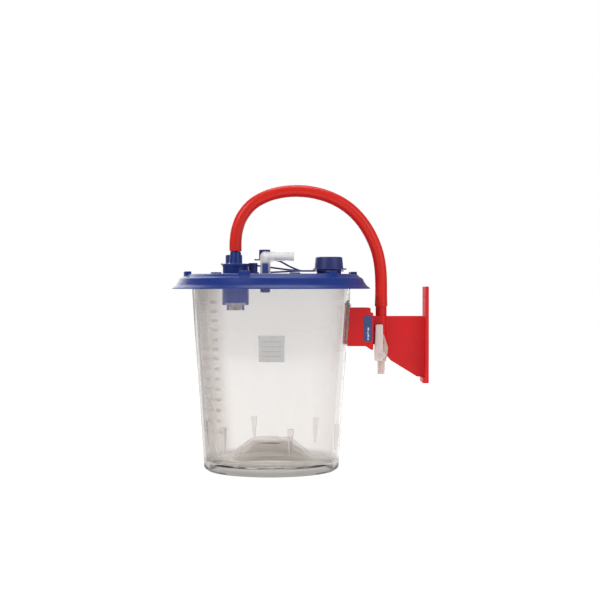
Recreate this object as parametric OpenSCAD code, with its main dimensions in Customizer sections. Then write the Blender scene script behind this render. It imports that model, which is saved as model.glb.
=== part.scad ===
// Suction collection canister: a clear three litre canister with a liner lid, ports and tethered caps,
// a red vacuum hose, and a wall bracket with an on/off valve.
// Millimetres. The origin is the centre of the canister's foot, +X points to the wall, -Y is the front.

/* [Canister] */
// Outer radius at the foot
base_r = 71.3; // [59:0.1:86]
// Outer radius just under the rim
top_r = 84.1; // [76:0.1:101]
// Height to the top of the rim
canister_h = 197; // [185:0.5:240]
// Thickness of the wall and floor
wall_t = 2.4; // [1.6:0.1:2.8]
// Height of the chamfered edge round the foot
foot_edge = 3; // [1:0.5:4]
// Width of the foot ring that stands on the table
foot_w = 3.5; // [2:0.5:5]
// Height of the inside floor
floor_z = 10; // [7:0.5:14]
// Width of the flat floor round the dome
floor_ring = 24; // [18:0.5:29]
// Radius of the dome's flat top
dome_top_r = 19.3; // [14:0.1:24]
// Height of the dome above the floor
dome_h = 20; // [14:0.5:26]
// Width of the flange round the rim
rim_w = 7; // [5:0.5:8]
// Thickness of the rim flange
rim_t = 3; // [2:0.5:4]

/* [Stacking wedges] */
// Number of wedges round the inside wall
wedge_count = 6; // [4:1:8]
// Width of a wedge at its top
wedge_w = 6.7; // [5:0.1:9]
// Height of a wedge
wedge_h = 27; // [20:1:34]
// Depth of a wedge from the wall
wedge_depth = 3.5; // [2:0.1:3.5]
// Height of the wedges' points
wedge_z = 22; // [16:1:30]
// Angle of the first wedge
wedge_turn = 47; // [30:1:55]

/* [Mounting rail] */
// Height of the raised pad's lower edge
pad_z = 131; // [110:1:140]
// Height of the pad
pad_h = 42; // [41:1:50]
// Thickness of the pad on the wall
pad_t = 2; // [1.5:0.1:3]
// Angle that the pad covers
pad_angle = 70; // [50:1:90]
// Width of the rail's neck
neck_w = 14; // [10:0.5:16]
// Width of the rail's head
head_w = 24; // [20:0.5:29]
// Thickness of the rail's head
head_t = 3; // [2:0.1:4]
// Distance from the canister's wall to the rail's head
head_gap = 4.2; // [3.8:0.1:6]
// Sliding clearance of the rail in the receiver
slide_gap = 0.4; // [0.2:0.05:0.6]
// Height of the vacuum port through the rail, above the pad's lower edge
port_up = 19; // [16:0.5:21]
// Radius of the vacuum port
port_r = 2.4; // [1.8:0.1:2.6]

/* [Front label] */
// Width of the front label
label_w = 25.8; // [20:0.2:34]
// Height of the front label
label_h = 26.5; // [20:0.5:34]
// Height of the front label's lower edge
label_z = 117.5; // [80:0.5:130]
// Turn of the front label from straight ahead, in degrees
label_turn = 1.3; // [-5:0.1:5]
// Thickness of both labels
label_t = 0.3; // [0.2:0.05:0.5]

/* [Lid] */
// Reach of the flared lip beyond the canister's rim
lip_out = 13.5; // [11:0.1:18]
// Drop of the lip below the top of the rim
lip_drop = 6; // [4:0.5:8]
// Height of the lid's top above the rim
lid_rise = 9.5; // [8.5:0.1:13]
// Thickness of the lid's plate
plate_t = 2.2; // [1.6:0.1:3]
// Thickness of the ring that plugs the canister's mouth
plug_ring_t = 1.4; // [1:0.1:2]
// Clearance between that ring and the canister
mouth_gap = 0.5; // [0.3:0.1:1]
// Thickness of the lid gasket
gasket_t = 3; // [2:0.1:4]
// Width of the lid gasket
gasket_w = 5; // [3:0.5:6]
// Number of grip lugs round the lid's shoulder
lug_count = 6; // [4:1:12]
// Width of a grip lug
lug_w = 11; // [8:0.5:14]
// Length of a grip lug towards the centre
lug_l = 6.5; // [4:0.5:7]
// Height of the grip lugs above the lid's top
lug_rise = 2.8; // [1.5:0.1:4]
// Angle of the first lug
lug_turn = 14; // [0:1:60]

/* [Liner] */
// Thickness of the liner's film
liner_t = 0.6; // [0.5:0.1:1]
// Gap from the liner to the canister's floor and dome
liner_gap = 2; // [1:0.5:4]
// Gap between the liner and the wedges
liner_clear = 2.2; // [1.5:0.1:4]

/* [Vacuum port] */
// Place of the vacuum port on the lid
vacuum_at = [-37, -20]; // [-60:0.5:60]
// Radius of the boss under the nozzle
boss_r = 13.3; // [11:0.1:15]
// Height of the boss above the lid's top
boss_h = 7.5; // [5:0.5:10]
// Radius of the nozzle's flange
nozzle_flange_r = 14; // [12:0.1:16]
// Thickness of the nozzle's flange
nozzle_flange_t = 3.3; // [2:0.1:4]
// Radius of the nozzle's neck at its foot
nozzle_foot_r = 6.6; // [6:0.1:7]
// Radius of the nozzle's neck at its top
nozzle_top_r = 5.6; // [5:0.1:6]
// Height of the nozzle's neck
nozzle_h = 12.5; // [8:0.5:16]
// Radius of the hose stems
stem_r = 3.1; // [2.8:0.05:3.15]
// Length of the hose stems
stem_h = 12; // [8:1:12]
// Bore through the nozzle and the hose stems
stem_bore_r = 2.1; // [1.6:0.1:2.3]

/* [Filter and float] */
// Outer radius of the filter housing
housing_r = 13.9; // [11.5:0.1:17]
// Height of the housing below the lid's plate
housing_h = 30.5; // [24:0.5:37]
// Wall of the housing
housing_t = 1.5; // [1:0.1:2]
// Outer radius of the float cage
cage_r = 9.4; // [8.5:0.1:10.5]
// Height of the cage below the housing
cage_h = 5.5; // [5:0.1:8]
// Wall of the cage
cage_t = 1.2; // [0.8:0.1:1.6]
// Thickness of the filter disc
filter_t = 4; // [2:0.5:5]
// Clearance round the filter disc
filter_gap = 0.2; // [0.1:0.05:0.4]
// Radius of the float
float_r = 6.2; // [5:0.1:7]
// Height of the float
float_h = 5; // [4:0.1:5.5]
// Radius of the seat that the float closes
seat_r = 3; // [2:0.1:4]

/* [Inlet elbow] */
// Place of the inlet port on the lid
inlet_at = [-5.8, -26]; // [-60:0.2:60]
// Outer radius of the inlet port's tube
inlet_r = 3.8; // [3.2:0.1:4]
// Height of the inlet tube above the lid's top
inlet_h = 11.5; // [8:0.5:13]
// Bore of the inlet tube
inlet_bore_r = 2.4; // [2:0.1:2.6]
// Running clearance of the elbow on the inlet tube
elbow_fit = 0.05; // [0.02:0.01:0.1]
// Outer radius of the elbow's upright
elbow_r = 5.4; // [5.2:0.1:6]
// Outer radius of the elbow's arm
arm_r = 4.5; // [4.2:0.1:5]
// Reach of the arm from the elbow's axis
arm_l = 29.8; // [24:0.2:36]
// Radius of the arm's root, which stops the suction tube
arm_root_r = 5; // [4.7:0.1:5.4]
// Reach of the arm's root from the elbow's axis
arm_root_l = 9.3; // [7:0.1:12]
// Bore of the elbow's arm
arm_bore_r = 2.7; // [2.2:0.1:3]
// Height of the arm's centre above the lid's top
arm_up = 18; // [17:0.1:22]
// Radius of the stub below the lid
stub_r = 5.1; // [4.4:0.1:6]
// Length of the stub below the lid's plate
stub_h = 17.3; // [10:0.5:24]

/* [Pour spout and caps] */
// Place of the pour spout
pour_at = [61, 0]; // [-65:0.5:65]
// Bore of the pour spout
pour_bore_r = 11.5; // [9.5:0.1:14]
// Height of the pour spout above the lid's top
pour_h = 12.5; // [10:0.5:14]
// Wall of the pour cap at its top
pour_cap_wall = 1.85; // [1.2:0.05:2.6]
// Place of the tall cap
tall_at = [-7.4, 10]; // [-65:0.2:65]
// Bore of the tall cap's port
tall_bore_r = 3.2; // [2.6:0.1:4]
// Place of the wide cap
wide_at = [-40.6, 20]; // [-65:0.2:65]
// Bore of the wide cap's port
wide_bore_r = 6.2; // [5:0.1:7.5]
// Place of the small cap
small_at = [-19.5, 2]; // [-65:0.5:65]
// Bore of the small cap's port
small_bore_r = 2.1; // [1.7:0.1:2.6]
// Wall of the ports' tubes
port_wall = 1.5; // [1.2:0.1:1.8]
// Clearance between a cap and its port
cap_gap = 0.35; // [0.3:0.05:0.5]
// Wall of the three smaller caps
cap_wall = 0.9; // [0.7:0.05:1.4]
// Thickness of the caps' flanges
flange_t = 1.4; // [1:0.1:2]

/* [Tether] */
// Thickness of the tether
tether_t = 1.2; // [0.8:0.1:1.2]
// Width of a tether strap
strap_w = 2.3; // [1.6:0.1:3]
// Clearance from a strap's end to its cap
strap_gap = 0.3; // [0.2:0.1:1]

/* [Bracket] */
// Half of the receiver's width
receiver_half = 21; // [18:0.5:24]
// Height of the receiver
receiver_h = 40; // [37:1:40]
// Thickness of the receiver's floor
receiver_floor = 3; // [2:0.5:4]
// Depth of the receiver behind the rail's slot
receiver_back = 17; // [15:0.5:22]
// Radius of the valve column
column_r = 6.5; // [6.5:0.1:7.5]
// Depth from the receiver's back to the flow axis
column_out = 9.3; // [8.5:0.1:12]
// Height of the web's upper edge above the pad's lower edge
web_up = 31.3; // [29:0.1:34]
// Thickness of the web
web_t = 6; // [4:0.5:8]
// Distance from the flow axis to the front of the wall plate
plate_out = 45.4; // [40:0.1:60]
// Thickness of the wall plate
wall_plate_t = 3.6; // [3:0.1:5]
// Half of the wall plate's width
wall_plate_half = 18.5; // [17:0.5:24]
// Drop of the wall plate below the pad's lower edge
wall_plate_down = 39; // [36:1:46]
// Rise of the wall plate above the web
wall_plate_up = 31.2; // [26:0.2:40]
// Radius of the wall plate's screw holes
wall_hole_r = 2.3; // [1.8:0.1:2.8]
// Spacing of the wall screws across the plate
wall_screw_y = 24; // [20:1:26]
// Spacing of the wall screws up the plate
wall_screw_z = 78; // [70:1:82]
// Radius of the hose collar
collar_r = 5.85; // [5.4:0.05:6.3]
// Height of the hose collar
collar_h = 9.7; // [6:0.1:12]
// Radius of the receiver screws' shanks
screw_r = 1.5; // [1.2:0.1:1.8]
// Radius of the receiver screws' heads
screw_head_r = 3.1; // [2.8:0.1:3.4]
// Height of the receiver screws' heads
screw_head_h = 2; // [1.5:0.1:2.4]

/* [Valve] */
// Drop of the valve's axis below the pad's lower edge
valve_drop = 9.5; // [9:0.5:12]
// Wall of the valve's barrel
barrel_wall = 1.35; // [1:0.05:1.8]
// Half of the barrel's length
barrel_half = 8; // [8:0.5:10]
// Radius of the plug
plug_r = 4.6; // [3.8:0.1:5.6]
// Running clearance of the plug in the barrel
plug_fit = 0.05; // [0.02:0.01:0.1]
// Radius of the flow passage through the valve
flow_r = 2.1; // [1.6:0.1:2.5]
// Radius of the tail that takes the vacuum tube
tail_r = 3.9; // [3.6:0.1:4.3]
// Length of the tail below the valve's axis
tail_h = 20.8; // [17:0.2:26]
// Thickness of the shield behind the lever
shield_t = 1.7; // [1.2:0.1:2.5]
// Clearance between the shield and the lever
lever_gap = 0.5; // [0.3:0.1:1]
// Thickness of the lever
lever_t = 4; // [3:0.5:5]
// Length of the lever above the valve's axis
lever_up = 32; // [26:0.5:36]
// Length of the lever below the valve's axis
lever_down = 6.2; // [5:0.2:6.4]

/* [Hidden] */
$fn = 96;
eps = 0.01;
through = 1;

// canister
rim_r = top_r + rim_w;
function wall_r(z) = base_r + (top_r - base_r) * z / canister_h;
wall_lean = atan((top_r - base_r) / canister_h);
dome_base_r = wall_r(floor_z) - wall_t - floor_ring;

// mounting rail
rail_z = pad_z + receiver_floor;
rail_top = pad_z + receiver_h;
rail_x = wall_r(rail_top) + head_gap;
slot_back_x = rail_x + head_t + slide_gap;
receiver_back_x = slot_back_x + receiver_back;
flow_x = receiver_back_x + column_out;
port_z = pad_z + port_up;

// lid
lip_r = rim_r + lip_out;
lip_z = canister_h - lip_drop;
seat_z = canister_h + gasket_t;
lid_top = canister_h + lid_rise;
plate_z = lid_top - plate_t;
shoulder_r = rim_r - 1.1;
channel_r = rim_r + 3.1;
ring_z = canister_h - 5;
ring_r = wall_r(ring_z) - wall_t - mouth_gap;
gasket_r = top_r + rim_w / 2 - gasket_w / 2 - 1.2;
liner_top_r = ring_r - plug_ring_t - 0.3;
liner_seam_w = 3;
liner_low_z = floor_z + liner_gap;
liner_corner = 6;
liner_base_r = wall_r(liner_low_z + liner_corner) - wall_t - wedge_depth - liner_clear;

// vacuum port and filter
boss_top = lid_top + boss_h;
nozzle_z = boss_top + nozzle_flange_t;
nozzle_top = nozzle_z + nozzle_h;
barb_out = 0.2;
barb_pitch = 4;
housing_z = plate_z - housing_h;
cage_z = housing_z - cage_h;
float_z = cage_z + cage_t + 0.2;
float_travel = 5;
seat_z_low = float_z + float_h + float_travel + 0.3;
filter_ledge = 1.4;
window_w = 5;

// ports and caps: each row is place, bore, port height, flange height, cap height, tab angle
elbow_z = lid_top + 0.2;
TALL = [tall_at, tall_bore_r, 21.5, 14.7, 11.5, 180];
WIDE = [wide_at, wide_bore_r, 17.5, 10.2, 10.7, 180];
SMALL = [small_at, small_bore_r, 9, 0.7, 11.2, 120];
function cap_bore(port) = port[1] + port_wall + cap_gap;
function cap_r(port) = cap_bore(port) + cap_wall;
pour_cap_bore = pour_bore_r + port_wall + cap_gap;
pour_cap_r = pour_cap_bore + pour_cap_wall;
pour_flange_up = 4.7;
pour_cap_h = 13.6;
pour_skirt = 1.1;
pour_flange_out = 0.6;
cap_roof = 2;
flange_out = 1.4;
tab_l = 5;
tab_w = 6;

// tether
tether_z = lid_top + 2.9;
tether_gap = 0.4;
tether_w = 2.3;
fork_at = [pour_at[0] - 27, pour_at[1] + 3];

// bracket
slot_z = rail_z;
web_z = pad_z + web_up;
column_z = pad_z + 1.3;
receiver_step_x = receiver_back_x - 2.7;
receiver_step_z = pad_z + 35;
plate_x = flow_x + plate_out;
plate_back_x = plate_x + wall_plate_t;
plate_z_low = pad_z - wall_plate_down;
plate_z_top = web_z + wall_plate_up;
wall_screw_mid = (plate_z_low + plate_z_top) / 2 + 1;
collar_z = web_z + collar_h;
pocket_wall = 2.5;
lip_l = 2.9;
lip_h = 6;
screw_sink = 0.6;
screw_x = slot_back_x + screw_sink;
screw_l = 20;
cross_w = 0.7;
cross_l = 3.4;
cross_depth = 0.9;
screw_zs = [pad_z + 9, pad_z + 28.5];
thread_bite = 0.2;
seal_r = 4.5;
seal_thick = 0.9;
seal_stand = 0.2;
bracket_label_w = 8.7;
bracket_label_h = 26.7;
bracket_label_x = receiver_back_x - 10;
bracket_label_z = pad_z + 5;

// valve
valve_z = pad_z - valve_drop;
barrel_r = plug_r + plug_fit + barrel_wall;
shield_y = -barrel_half - shield_t + 0.2;
lever_y = shield_y - lever_gap;
plug_back_y = barrel_half + 1.6;
clip_y = barrel_half + 0.4;
clip_t = 0.8;
clip_groove_r = plug_r - 0.8;
seal_y = barrel_half - 2.5;
plug_seal_r = 0.45;
neck_r = 4;
pin_hole_r = 1.1;
lever_screw_r = 1.25;
lever_screw_head_r = 2.6;
lever_screw_head_h = 1.2;
lever_screw_l = 9;

// hose: the centre line from the nozzle's top to the collar's top
hose_r = 6.35;
hose_bore_r = 3.6;
hose_sides = 12;
HOSE_ROUTE = [
    [-37, -20, 230], [-36.9, -20, 242], [-35.1, -19.8, 253.8], [-30, -19.2, 266.8],
    [-19.6, -18, 279.4], [-5.2, -16.2, 287.8], [10.2, -14, 292.3], [25.8, -12, 293.8],
    [41.9, -9.8, 292.7], [58, -7.6, 288.8], [73.2, -5.4, 282], [86.3, -3.6, 272.5],
    [97.5, -2.2, 259.9], [106.2, -1.2, 245.3], [112.2, -0.6, 229.8], [115.3, -0.2, 214],
    [116.3, 0, 198], [116.3, 0, 184], [116.3, 0, 172.2]
];

// A flat plate that stands in an XZ plane, from y0 towards +Y
module xz_plate(y0, t, outline) {
    translate([0, y0 + t, 0]) rotate([90, 0, 0]) linear_extrude(t) polygon(outline);
}

// A cylinder along +Y
module y_cylinder(x, y, z, r, h) {
    translate([x, y, z]) rotate([-90, 0, 0]) cylinder(r = r, h = h);
}

// A cylinder along +X
module x_cylinder(x, y, z, r, h) {
    translate([x, y, z]) rotate([0, 90, 0]) cylinder(r = r, h = h);
}

// A ring of round section about the Z axis
module round_ring(r, section_r) {
    rotate_extrude() translate([r, 0]) circle(r = section_r, $fn = 32);
}

// A solid of revolution that follows the canister's wall from z0 to z1, grown outwards
module wall_cone(z0, z1, grow) {
    rotate_extrude() polygon([[0, z0], [wall_r(z0) + grow, z0], [wall_r(z1) + grow, z1], [0, z1]]);
}

// ---- canister ----

module canister_shell() {
    inner_base_r = wall_r(floor_z) - wall_t;
    under_z = floor_z - wall_t;
    dome_top = floor_z + dome_h;
    foot_r = base_r - foot_edge;
    rotate_extrude() polygon([
        [foot_r - foot_w, 0], [foot_r, 0], [base_r - 0.3 * foot_edge, 0.3 * foot_edge],
        [wall_r(foot_edge), foot_edge], [wall_r(canister_h - rim_t), canister_h - rim_t],
        [rim_r, canister_h - rim_t], [rim_r, canister_h],
        [top_r - wall_t, canister_h], [inner_base_r, floor_z], [dome_base_r, floor_z],
        [dome_top_r, dome_top], [0, dome_top], [0, dome_top - wall_t],
        [dome_top_r - wall_t / 2, dome_top - wall_t], [dome_base_r - wall_t / 2, under_z],
        [foot_r - foot_w, under_z]
    ]);
}

module stacking_wedges() {
    for (i = [0 : wedge_count - 1])
        rotate([0, 0, wedge_turn + i * 360 / wedge_count])
        translate([base_r - wall_t, 0, 0])
        rotate([0, wall_lean, 0])
        translate([wall_t / 2, 0, 0])
        rotate([90, 0, -90])
        linear_extrude(wedge_depth + wall_t / 2)
        polygon([[0, wedge_z], [wedge_w / 2, wedge_z + wedge_h], [-wedge_w / 2, wedge_z + wedge_h]]);
}

module mounting_pad() {
    pad_top = pad_z + pad_h;
    rotate([0, 0, -pad_angle / 2]) rotate_extrude(angle = pad_angle) polygon([
        [wall_r(pad_z) - wall_t / 2, pad_z], [wall_r(pad_z) + pad_t, pad_z],
        [wall_r(pad_top) + pad_t, pad_top], [wall_r(pad_top) - wall_t / 2, pad_top]
    ]);
}

module mounting_rail() {
    xz_plate(-neck_w / 2, neck_w, [
        [wall_r(rail_z) - wall_t / 2, rail_z], [rail_x + eps, rail_z],
        [rail_x + eps, rail_top], [wall_r(rail_top) - wall_t / 2, rail_top]
    ]);
    translate([rail_x, -head_w / 2, rail_z]) cube([head_t, head_w, rail_top - rail_z]);
}

module canister() color([0.86, 0.87, 0.87, 0.5]) {
    difference() {
        union() {
            canister_shell();
            stacking_wedges();
            mounting_pad();
            mounting_rail();
        }
        x_cylinder(base_r - wall_t, 0, port_z, port_r, slot_back_x - base_r + wall_t);
    }
}

module front_label() color("darkgray") {
    turn = label_w / wall_r(label_z) * 180 / PI;
    label_top = label_z + label_h;
    rotate([0, 0, -90 + label_turn - turn / 2]) rotate_extrude(angle = turn) polygon([
        [wall_r(label_z) - 0.02, label_z], [wall_r(label_z) + label_t, label_z],
        [wall_r(label_top) + label_t, label_top], [wall_r(label_top) - 0.02, label_top]
    ]);
}

// ---- lid ----

module lid_shell() {
    rotate_extrude() polygon([
        [0, lid_top], [shoulder_r, lid_top], [shoulder_r + 1.6, lid_top - 1.1],
        [shoulder_r + 3.4, lid_top - 2.9], [shoulder_r + 6.5, lid_top - 4.5],
        [shoulder_r + 8.6, lid_top - 8.6], [shoulder_r + 10.6, lid_top - 11.6],
        [lip_r, lip_z + 0.8], [lip_r, lip_z], [lip_r - 2.4, lip_z],
        [channel_r + 3.8, lid_top - 12.6], [channel_r + 1.4, seat_z - 1.4], [channel_r, seat_z],
        [ring_r, seat_z], [ring_r, ring_z], [ring_r - plug_ring_t, ring_z],
        [ring_r - plug_ring_t, plate_z], [0, plate_z]
    ]);
}

module grip_lugs() {
    for (i = [0 : lug_count - 1])
        rotate([0, 0, lug_turn + i * 360 / lug_count])
        translate([shoulder_r - lug_l + 3, -lug_w / 2, lid_top - 3.5])
        cube([lug_l, lug_w, 3.5 + lug_rise]);
}

// The tube of a capped port: it starts inside the lid's plate
module port_tube(place, bore, height) {
    translate([place[0], place[1], plate_z]) cylinder(r = bore + port_wall, h = plate_t + height);
}

module port_hole(place, bore, height) {
    translate([place[0], place[1], plate_z - through])
        cylinder(r = bore, h = plate_t + height + 2 * through);
}

module lid() color("royalblue") {
    difference() {
        union() {
            lid_shell();
            grip_lugs();
            translate([vacuum_at[0], vacuum_at[1], plate_z]) cylinder(r = boss_r, h = plate_t + boss_h);
            translate([inlet_at[0], inlet_at[1], plate_z]) cylinder(r = inlet_r, h = plate_t + inlet_h);
            translate([inlet_at[0], inlet_at[1], plate_z - stub_h]) cylinder(r = stub_r, h = stub_h + eps);
            port_tube(pour_at, pour_bore_r, pour_h);
            for (port = [TALL, WIDE, SMALL]) port_tube(port[0], port[1], port[2]);
        }
        port_hole(vacuum_at, seat_r, boss_h);
        port_hole(pour_at, pour_bore_r, pour_h);
        for (port = [TALL, WIDE, SMALL]) port_hole(port[0], port[1], port[2]);
        translate([inlet_at[0], inlet_at[1], plate_z - stub_h - through])
            cylinder(r = inlet_bore_r, h = stub_h + plate_t + inlet_h + 2 * through);
    }
}

module lid_gasket() color("dimgray") {
    rotate_extrude() translate([gasket_r, canister_h]) square([gasket_w, gasket_t]);
}

module liner() color([0.93, 0.93, 0.91, 0.4]) {
    dome_clear = liner_gap * 1.4;
    low_z = liner_low_z;
    corner = liner_corner;
    dome_top = floor_z + dome_h + liner_gap;
    lean = (liner_top_r - liner_base_r) / (plate_z - low_z - corner);
    rotate_extrude() polygon([
        [liner_top_r, plate_z], [liner_base_r, low_z + corner], [liner_base_r - 1.8, low_z + 1.6],
        [liner_base_r - corner, low_z], [dome_base_r + dome_clear, low_z],
        [dome_top_r + dome_clear, dome_top], [0, dome_top], [0, dome_top + liner_t],
        [dome_top_r + dome_clear + liner_t / 2, dome_top + liner_t],
        [dome_base_r + dome_clear + liner_t / 2, low_z + liner_t],
        [liner_base_r - corner, low_z + liner_t],
        [liner_base_r - 1.8 - liner_t, low_z + 1.6 + liner_t], [liner_base_r - liner_t, low_z + corner],
        [liner_top_r - liner_t - lean, plate_z - liner_t],
        [liner_top_r - liner_seam_w, plate_z - liner_t], [liner_top_r - liner_seam_w, plate_z]
    ]);
}

// ---- vacuum port, filter and float ----

// A hose stem with barbs, from z upwards
module hose_stem(z) {
    translate([0, 0, z]) {
        cylinder(r = stem_r, h = stem_h);
        for (i = [0 : 1])
            translate([0, 0, stem_h - 2 - i * barb_pitch])
            cylinder(r1 = stem_r + barb_out, r2 = stem_r, h = 2);
    }
}

module vacuum_nozzle() color("royalblue") {
    translate([vacuum_at[0], vacuum_at[1], 0]) difference() {
        union() {
            translate([0, 0, boss_top]) cylinder(r = nozzle_flange_r, h = nozzle_flange_t);
            translate([0, 0, nozzle_z - eps])
                cylinder(r1 = nozzle_foot_r, r2 = nozzle_top_r, h = nozzle_h + eps);
            hose_stem(nozzle_top - eps);
        }
        translate([0, 0, boss_top - through])
            cylinder(r = stem_bore_r, h = nozzle_top + stem_h - boss_top + 2 * through);
    }
}

module filter_housing() color([0.25, 0.4, 0.75, 0.7]) {
    translate([vacuum_at[0], vacuum_at[1], 0]) difference() {
        union() {
            translate([0, 0, housing_z]) cylinder(r = housing_r, h = housing_h);
            translate([0, 0, cage_z]) cylinder(r = cage_r, h = cage_h + eps);
        }
        // the filter's chamber, its ledge, the seat and the float's space
        translate([0, 0, plate_z - filter_t]) cylinder(r = housing_r - housing_t, h = filter_t + through);
        translate([0, 0, seat_z_low + housing_t])
            cylinder(r = housing_r - housing_t - filter_ledge, h = plate_z - seat_z_low);
        translate([0, 0, seat_z_low - through]) cylinder(r = seat_r, h = housing_t + 2 * through);
        translate([0, 0, housing_z + housing_t])
            cylinder(r = housing_r - housing_t, h = seat_z_low - housing_z - housing_t);
        translate([0, 0, cage_z + cage_t]) cylinder(r = cage_r - cage_t, h = seat_z_low - cage_z - cage_t);
        // windows that let the fluid reach the float
        translate([0, 0, cage_z - through]) cylinder(r = seat_r, h = cage_t + 2 * through);
        for (turn = [0, 90])
            rotate([0, 0, turn]) translate([-cage_r - through, -window_w / 2, cage_z + cage_t])
            cube([2 * (cage_r + through), window_w, cage_h - cage_t - housing_t]);
    }
}

module filter_disc() color("white") {
    translate([vacuum_at[0], vacuum_at[1], plate_z - filter_t])
        cylinder(r = housing_r - housing_t - filter_gap, h = filter_t);
}

module float() color("ivory") {
    translate([vacuum_at[0], vacuum_at[1], float_z]) {
        cylinder(r = float_r, h = float_h - 1);
        translate([0, 0, float_h - 1 - eps]) cylinder(r1 = float_r, r2 = float_r - 1, h = 1 + eps);
    }
}

// ---- inlet elbow ----

module elbow() color("whitesmoke") {
    arm_z = lid_top + arm_up;
    translate([inlet_at[0], inlet_at[1], 0]) difference() {
        union() {
            translate([0, 0, elbow_z]) cylinder(r = elbow_r, h = arm_z - elbow_z);
            translate([0, 0, arm_z]) sphere(r = elbow_r);
            x_cylinder(0, 0, arm_z, arm_root_r, arm_root_l);
            x_cylinder(0, 0, arm_z, arm_r, arm_l);
        }
        translate([0, 0, elbow_z - through])
            cylinder(r = inlet_r + elbow_fit, h = inlet_h + through + 0.3);
        translate([0, 0, elbow_z]) cylinder(r = arm_bore_r, h = arm_z - elbow_z);
        translate([0, 0, arm_z]) sphere(r = arm_bore_r);
        x_cylinder(0, 0, arm_z, arm_bore_r, arm_l + through);
    }
}

// ---- caps and tether ----

// The cup and its flange, with a finger tab, for one row of the port list
module tethered_cap(port) {
    flange_z = lid_top + port[3];
    translate([port[0][0], port[0][1], 0]) difference() {
        union() {
            translate([0, 0, flange_z]) cylinder(r = cap_r(port), h = port[4]);
            translate([0, 0, flange_z]) cylinder(r = cap_r(port) + flange_out, h = flange_t);
            rotate([0, 0, port[5]]) translate([0, -tab_w / 2, flange_z])
                cube([cap_r(port) + tab_l, tab_w, flange_t]);
        }
        translate([0, 0, flange_z - through])
            cylinder(r = cap_bore(port), h = port[4] - cap_roof + through);
    }
}

module tall_cap() color("darkslateblue") tethered_cap(TALL);
module wide_cap() color("darkslateblue") tethered_cap(WIDE);
module small_cap() color("darkslateblue") tethered_cap(SMALL);

module pour_cap() color("darkslateblue") {
    flange_z = lid_top + pour_flange_up;
    translate([pour_at[0], pour_at[1], 0]) difference() {
        union() {
            translate([0, 0, flange_z])
                cylinder(r1 = pour_cap_r + pour_skirt, r2 = pour_cap_r, h = pour_cap_h);
            translate([0, 0, flange_z])
                cylinder(r = pour_cap_r + pour_skirt + pour_flange_out, h = flange_t);
            translate([0, -tab_w / 2, flange_z]) cube([pour_cap_r + tab_l - 1.6, tab_w, flange_t]);
        }
        translate([0, 0, flange_z - through])
            cylinder(r = pour_cap_bore, h = pour_cap_h - cap_roof + through);
    }
}

// A flat strap with round joints along a list of points
module strap(points) {
    for (i = [0 : len(points) - 2]) hull() {
        translate(points[i]) cylinder(d = strap_w, h = tether_t, $fn = 24);
        translate(points[i + 1]) cylinder(d = strap_w, h = tether_t, $fn = 24);
    }
}

// Where a strap stops short of a cap's flange, on the side towards the pour spout
function strap_end(port) = [
    port[0][0] + cap_r(port) + flange_out + strap_w / 2 + strap_gap, port[0][1], lid_top + port[3]
];

module tether_ring() color("darkslateblue") {
    inner_r = pour_bore_r + port_wall + tether_gap;
    ring_out_x = pour_at[0] - inner_r - tether_w + 0.5;
    union() {
        translate([pour_at[0], pour_at[1], tether_z]) difference() {
            cylinder(r = inner_r + tether_w, h = tether_t);
            translate([0, 0, -through]) cylinder(r = inner_r, h = tether_t + 2 * through);
        }
        hull() {
            translate([ring_out_x, pour_at[1], tether_z]) cylinder(d = strap_w + 1, h = tether_t, $fn = 24);
            translate([fork_at[0], fork_at[1], tether_z]) cylinder(d = strap_w + 1, h = tether_t, $fn = 24);
        }
    }
}

// Each strap starts where the ring's tongue ends, clear of its round end
module strap_tall() color("darkslateblue") {
    last = strap_end(TALL);
    strap([
        [fork_at[0] - 3, fork_at[1] + 1, tether_z], [20, 8, tether_z + 4.5],
        [9, last[1], lid_top + 13.2], last
    ]);
}

module strap_wide() color("darkslateblue") {
    last = strap_end(WIDE);
    strap([
        [fork_at[0] - 0.5, fork_at[1] + 3.2, tether_z], [17, 16, tether_z + 1.5],
        [-6, 21.5, lid_top + 7.5], [-22, 21.5, lid_top + 9.6], last
    ]);
}

module strap_small() color("darkslateblue") {
    last = strap_end(SMALL);
    strap([
        [fork_at[0] - 3.2, fork_at[1] - 1.8, tether_z], [18, 1, tether_z - 0.6],
        [0, last[1], lid_top + 1.4], last
    ]);
}

// ---- hose ----

function unit(v) = v / norm(v);
function route_way(i) = unit(
    HOSE_ROUTE[min(i + 1, len(HOSE_ROUTE) - 1)] - HOSE_ROUTE[max(i - 1, 0)]
);
function ring_points(i, r) =
    let (way = route_way(i), side = unit(cross(way, [0, 1, 0])), up = cross(way, side))
    [for (j = [0 : hose_sides - 1])
        let (a = 360 * j / hose_sides) HOSE_ROUTE[i] + r * (cos(a) * side + sin(a) * up)];

module hose() color("firebrick") {
    rings = len(HOSE_ROUTE);
    s = hose_sides;
    inner = rings * s;
    last = (rings - 1) * s;
    points = concat(
        [for (i = [0 : rings - 1]) each ring_points(i, hose_r)],
        [for (i = [0 : rings - 1]) each ring_points(i, hose_bore_r)]
    );
    outside = [for (i = [0 : rings - 2], j = [0 : s - 1])
        let (a = i * s + j, b = i * s + (j + 1) % s) each [[a, b + s, b], [a, a + s, b + s]]];
    inside = [for (f = outside) [inner + f[0], inner + f[2], inner + f[1]]];
    ends = [for (j = [0 : s - 1])
        let (a = j, b = (j + 1) % s) each [
            [a, b, inner + b], [a, inner + b, inner + a],
            [last + a, inner + last + b, last + b], [last + a, inner + last + a, inner + last + b]
        ]];
    polyhedron(points, concat(outside, inside, ends));
}

// ---- bracket ----

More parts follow.
